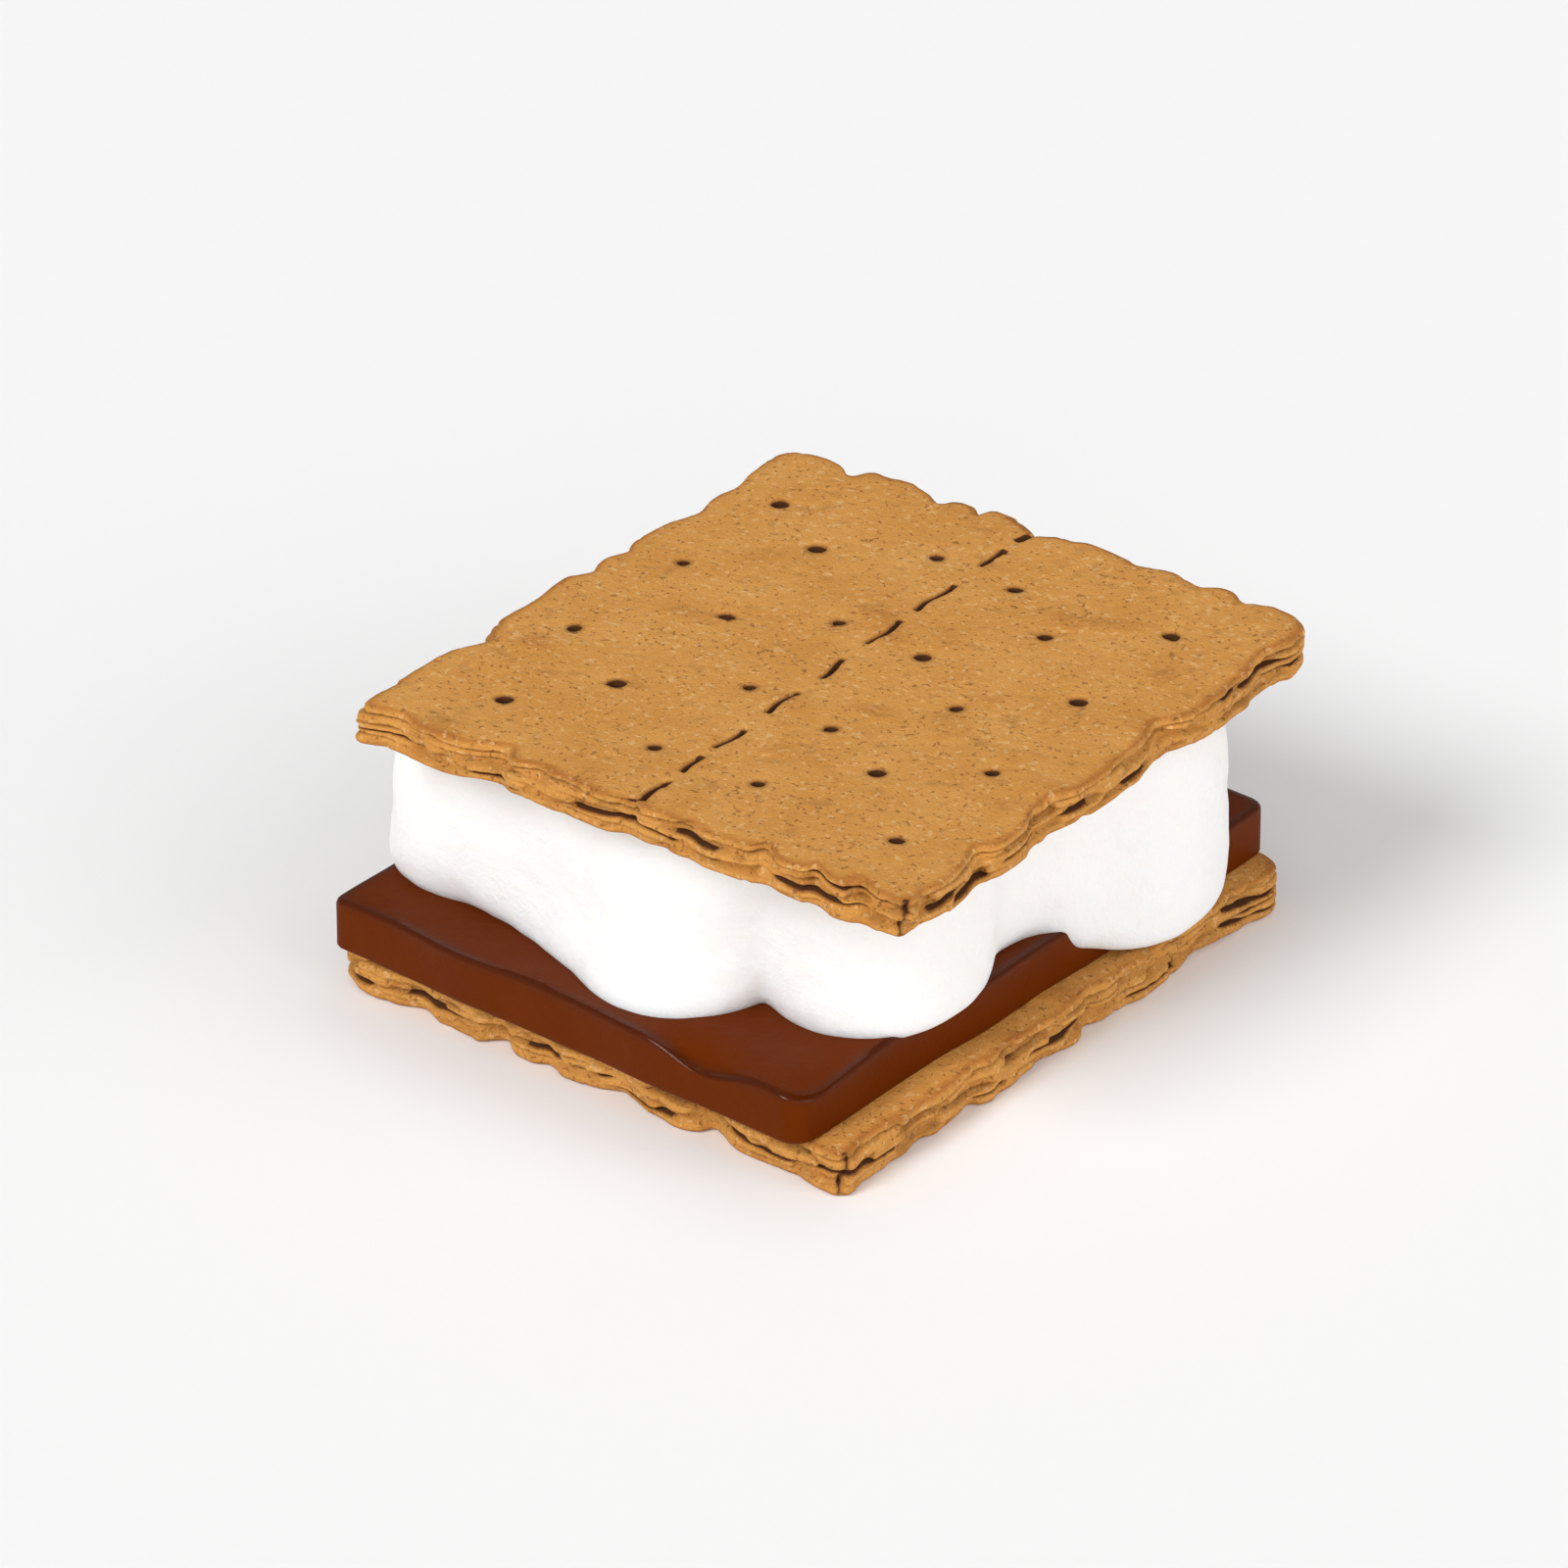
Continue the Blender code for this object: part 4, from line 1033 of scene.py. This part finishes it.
TOP_THICK = 4.0 * MM
TOP_CORNERS = (1.4 * MM, 1.2 * MM, 6.5 * MM, 4.6 * MM)
TOP_SEED = 101
TOP_BITES = (
    (
        (-28.5, 1.4, 2.8), (-16.8, 2.3, 2.2), (-11.4, 1.1, 1.8), (-0.2, 1.3, 1.3),
        (7, 0.9, 1.7), (15.7, 1.5, 1.2), (21.8, 1.3, 1.2), (27.2, 1.5, 1.4),
    ),
    ((-23.2, 1.3, 1.7), (-11.5, 1.3, 2.8), (7.4, 1.9, 2.2), (16.5, -0.5, 2.2), (24.8, 1.4, 2.5)),
    (
        (-23.8, 2, 1.3), (-12.9, 1.4, 1.7), (-7.9, 1.7, 1.1), (-0.3, 1.7, 2.1),
        (3.5, 1, 1.3), (11.3, 1.2, 2), (18, 0.7, 1.2), (23.2, 0.9, 1.4),
    ),
    (
        (24.5, 1, 3), (16.8, 1.6, 3.2), (5.9, 0.9, 1.6), (0.3, 0.8, 1.2),
        (-17.8, 1.3, 1.8), (-33.8, -0.5, 2.5),
    ),
)
TOP_BITE_SHARES = (0.4, 1.0)
# Places where the edge of the underside stands out, written like the bites
TOP_LIPS = (((-31.9, -0.8, 2.2), (23.5, -0.5, 4)), (), (), ())
TOP_LIP_SHARES = (1.0, 0.0)
TOP_BREAKS = (131, 2087, 1898, 5788, 135)
TOP_CRACKS = (
    ((2, -32, -26), (1, -18.5, -14), (2, -6, 5), (3, 6, 10), (2, 17.5, 28.5), (4, 21.5, 29.5)),
    (
        (2, -31, -26), (1, -27, -22), (2, -19, -14), (2, -12.5, -6),
        (1, 1, 4), (4, 17, 24), (3, 21, 31), (2, 25, 33),
    ),
    ((2, -27, -18), (3, -11, -3), (1, 4, 10), (2, 16, 27)),
    ((1, -30, -22), (2, -14, -4), (3, 3, 11), (2, 17, 29)),
)
# Holes, a column to a line, as (x, y, radius), in mm from the cracker's own middle
TOP_HOLES = (
    (-25, 23.5, 1), (-25, 7.5, 0.7), (-25, -10, 0.8), (-21.5, -25.5, 1),
    (-16.5, 18, 1.05), (-15, 1, 0.95), (-15, -16.5, 1.05),
    (-6, 23.5, 0.8), (-5.5, 6.5, 0.7), (-4.5, -9.5, 0.7), (-4.5, -24.5, 0.75),
    (4, 22.5, 0.9), (5, 5.5, 0.95), (6.5, -11.5, 0.75), (7.5, -24.5, 0.75),
    (12, 16, 0.85), (13.5, -1, 0.75), (15, -16, 1),
    (21.5, 23.5, 0.95), (22, 7, 1), (23.5, -9.5, 0.8), (24, -25.5, 0.85),
)
# Slots of the perforated line, as (middle along the line, length), both in mm. The end slots cut
# the rim.
SLOTS = (
    (-32.6, 6.4), (-25.3, 3.2), (-18.9, 4.5), (-10, 5), (-1.7, 4.4),
    (7.2, 5.5), (16.2, 6.2), (26.6, 3.9), (33.8, 5.6),
)
SLOT_WIDE = 0.8 * MM
SLOT_DEPTH = 1.5 * MM
SLOT_END_SOFT = 0.3 * MM
SLOT_RIM_SHARE = 0.3
SLOT_RIM_REACH = 1.6 * MM
# Where a slot's wall meets the top and the floor, and how wide it is, in slot widths
SLOT_TOP, SLOT_FLOOR, SLOT_WALL = 0.56, 0.36, 0.2
# Grid lines on either side of the perforated line, and the slot widths off it to which they go
SLOT_KNOTS = (-5, -3, -2, -1, 0, 1, 2, 3, 5)
SLOT_PLACES = (-1.0, -SLOT_TOP, -SLOT_FLOOR, 0.0, SLOT_FLOOR, SLOT_TOP, 1.0)
GROOVE_DEPTH = 0.05 * MM
GROOVE_REACH = 1.1 * MM
LINE_MIDDLE = -0.45 * MM
LINE_LEAN = math.radians(2.0)
LINE_LEAN_FADE = (4 * MM, 20 * MM)
# The line's waver, as (sway to either side, length of one wave along the line, phase)
LINE_WAVERS = ((0.20 * MM, 12.5 * MM, 0.6), (0.12 * MM, 5.1 * MM, 2.0))


def scored_and_pricked(plan):
    """The top face with its perforated line and holes.

    The line leans by an angle and wavers by a sum of sines, and the grid lines near it with it.
    They are drawn together at the walls of its slots. A slot is a steep-sided trough in a shallow
    groove, with only SLOT_RIM_SHARE of its depth where it cuts the rim.
    """
    lean = math.tan(LINE_LEAN) * plan[..., 1]
    for sway, wave, phase in LINE_WAVERS:
        lean = lean + sway * np.sin(2.0 * math.pi * plan[..., 1] / wave + phase)
    plan[..., 0] -= lean * (1.0 - smooth_step(abs(plan[..., 0]), *LINE_LEAN_FADE))
    line = LINE_MIDDLE - lean
    cell = CRACKER_WIDE / CRACKER_COLUMNS
    start = round(LINE_MIDDLE / cell) * cell - LINE_MIDDLE
    knots = start + cell * np.array(SLOT_KNOTS)
    targets = np.concatenate([knots[:1], SLOT_WIDE * np.array(SLOT_PLACES), knots[-1:]])
    across = plan[..., 0] - line
    near = (across > knots[0]) & (across < knots[-1])
    plan[..., 0] = np.where(near, line + np.interp(across, knots, targets), plan[..., 0])
    plan, depth = pricked(plan, np.array(TOP_HOLES) * MM)
    across = abs(plan[..., 0] - line)
    trough = np.zeros_like(across)
    for along, long in SLOTS:
        past_end = abs(plan[..., 1] - along * MM) - long * MM / 2
        end = smooth_step(past_end, -SLOT_END_SOFT, SLOT_END_SOFT)
        trough = np.maximum(trough, 1.0 - end)
    wall = (SLOT_TOP * SLOT_WIDE - across) / (SLOT_WALL * SLOT_WIDE)
    trough = trough * np.clip(wall, 0.0, 1.0)
    row = np.arange(CRACKER_ROWS + 1)
    from_rim = np.minimum(row, CRACKER_ROWS - row) * CRACKER_LONG / CRACKER_ROWS
    deep = smooth_step(from_rim, 0.0, SLOT_RIM_REACH)
    trough = trough * (SLOT_RIM_SHARE + (1.0 - SLOT_RIM_SHARE) * deep)
    return plan, depth + SLOT_DEPTH * trough + GROOVE_DEPTH * bell(across, GROOVE_REACH)


bites = ((TOP_BITES, TOP_BITE_SHARES), (TOP_LIPS, TOP_LIP_SHARES))
top, underside, side, marks = cracker_shape(
    TOP_THICK, TOP_CORNERS, bites, TOP_BREAKS, TOP_CRACKS, TOP_SEED, scored_and_pricked, unmarked
)
top, underside, side = [
    laid(part, TOP_CENTRE, TOP_FLOOR, TOP_TURN, TOP_TILT) for part in (top, underside, side)
]
top_cracker = closed_piece("top_cracker_baked", top, underside, side, crumb, marks)
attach(top_cracker, "root")
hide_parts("top_cracker")


# The table, the light and the camera
#
# A pale seamless table under wide soft studio lamps, all far away so that the light is even: one
# above to the left, a lower one to the right and a low one from the front. The camera looks down at
# the corner towards +X and -Y.

TABLE_HALF = 30.0
TABLE_WHITE = (0.91, 0.91, 0.91, 1.0)
CAMERA_AZIMUTH = math.radians(38.79)
CAMERA_ELEVATION = math.radians(29.47)
CAMERA_DISTANCE = 0.80998
CAMERA_AIM = Vector((-4.99, 1.97, 15.0)) * MM
CAMERA_SENSOR = 36.0
# A focal length of 8493 pixels, in a picture 1600 pixels wide
CAMERA_LENS = CAMERA_SENSOR * 8493.0 / 1600.0
# Lamps as (degrees round from the camera, degrees up, how wide each looks in degrees, strength)
LAMPS = ((-50.0, 42.0, 26.0, 1.90), (58.0, 28.0, 50.0, 1.05), (5.0, 15.0, 50.0, 0.75))


def facing(azimuth, elevation):
    """The way out from the s'more at an azimuth, 0 towards -Y, and an elevation."""
    level = math.cos(elevation)
    return Vector((math.sin(azimuth) * level, -math.cos(azimuth) * level, math.sin(elevation)))


def aimed(data, name, target, back, distance=1.0):
    """A lamp or camera object at a distance from its target, looking at it, upright."""
    made = new_object(name, data)
    right = Vector((0.0, 0.0, 1.0)).cross(back).normalized()
    turning = Matrix((right, back.cross(right), back)).transposed().to_4x4()
    made.matrix_world = Matrix.Translation(target + back * distance) @ turning
    return made


corners = [(x * TABLE_HALF, y * TABLE_HALF, -FLOOR_CLEAR) for x, y in CORNERS]
table_mesh = bpy.data.meshes.new("table")
table_mesh.from_pydata(corners, [], [(0, 1, 2, 3)])
finish, wire, where = new_finish("table")
surface(wire, TABLE_WHITE, 0.7, clouds(where, 1.5 * MM), 0.02 * MM)
table_mesh.materials.append(finish)
table = new_object("table", table_mesh)

for number, (round_from, up, wide, strength) in enumerate(LAMPS):
    lamp = bpy.data.lights.new(f"lamp {number}", "SUN")
    lamp.angle = math.radians(wide)
    lamp.energy = strength
    back = facing(CAMERA_AZIMUTH + math.radians(round_from), math.radians(up))
    aimed(lamp, lamp.name, CAMERA_AIM, back)

world = bpy.data.worlds.new("studio")
world.use_nodes = True
background = world.node_tree.nodes["Background"].inputs
background["Color"].default_value = (1.0, 1.0, 1.0, 1.0)
background["Strength"].default_value = 0.42
bpy.context.scene.world = world
bpy.context.scene.view_settings.view_transform = "Standard"

camera = bpy.data.cameras.new("camera")
camera.sensor_width = CAMERA_SENSOR
camera.lens = CAMERA_LENS
camera.clip_start = 0.01
back = facing(CAMERA_AZIMUTH, CAMERA_ELEVATION)
bpy.context.scene.camera = aimed(camera, "camera", CAMERA_AIM, back, CAMERA_DISTANCE)
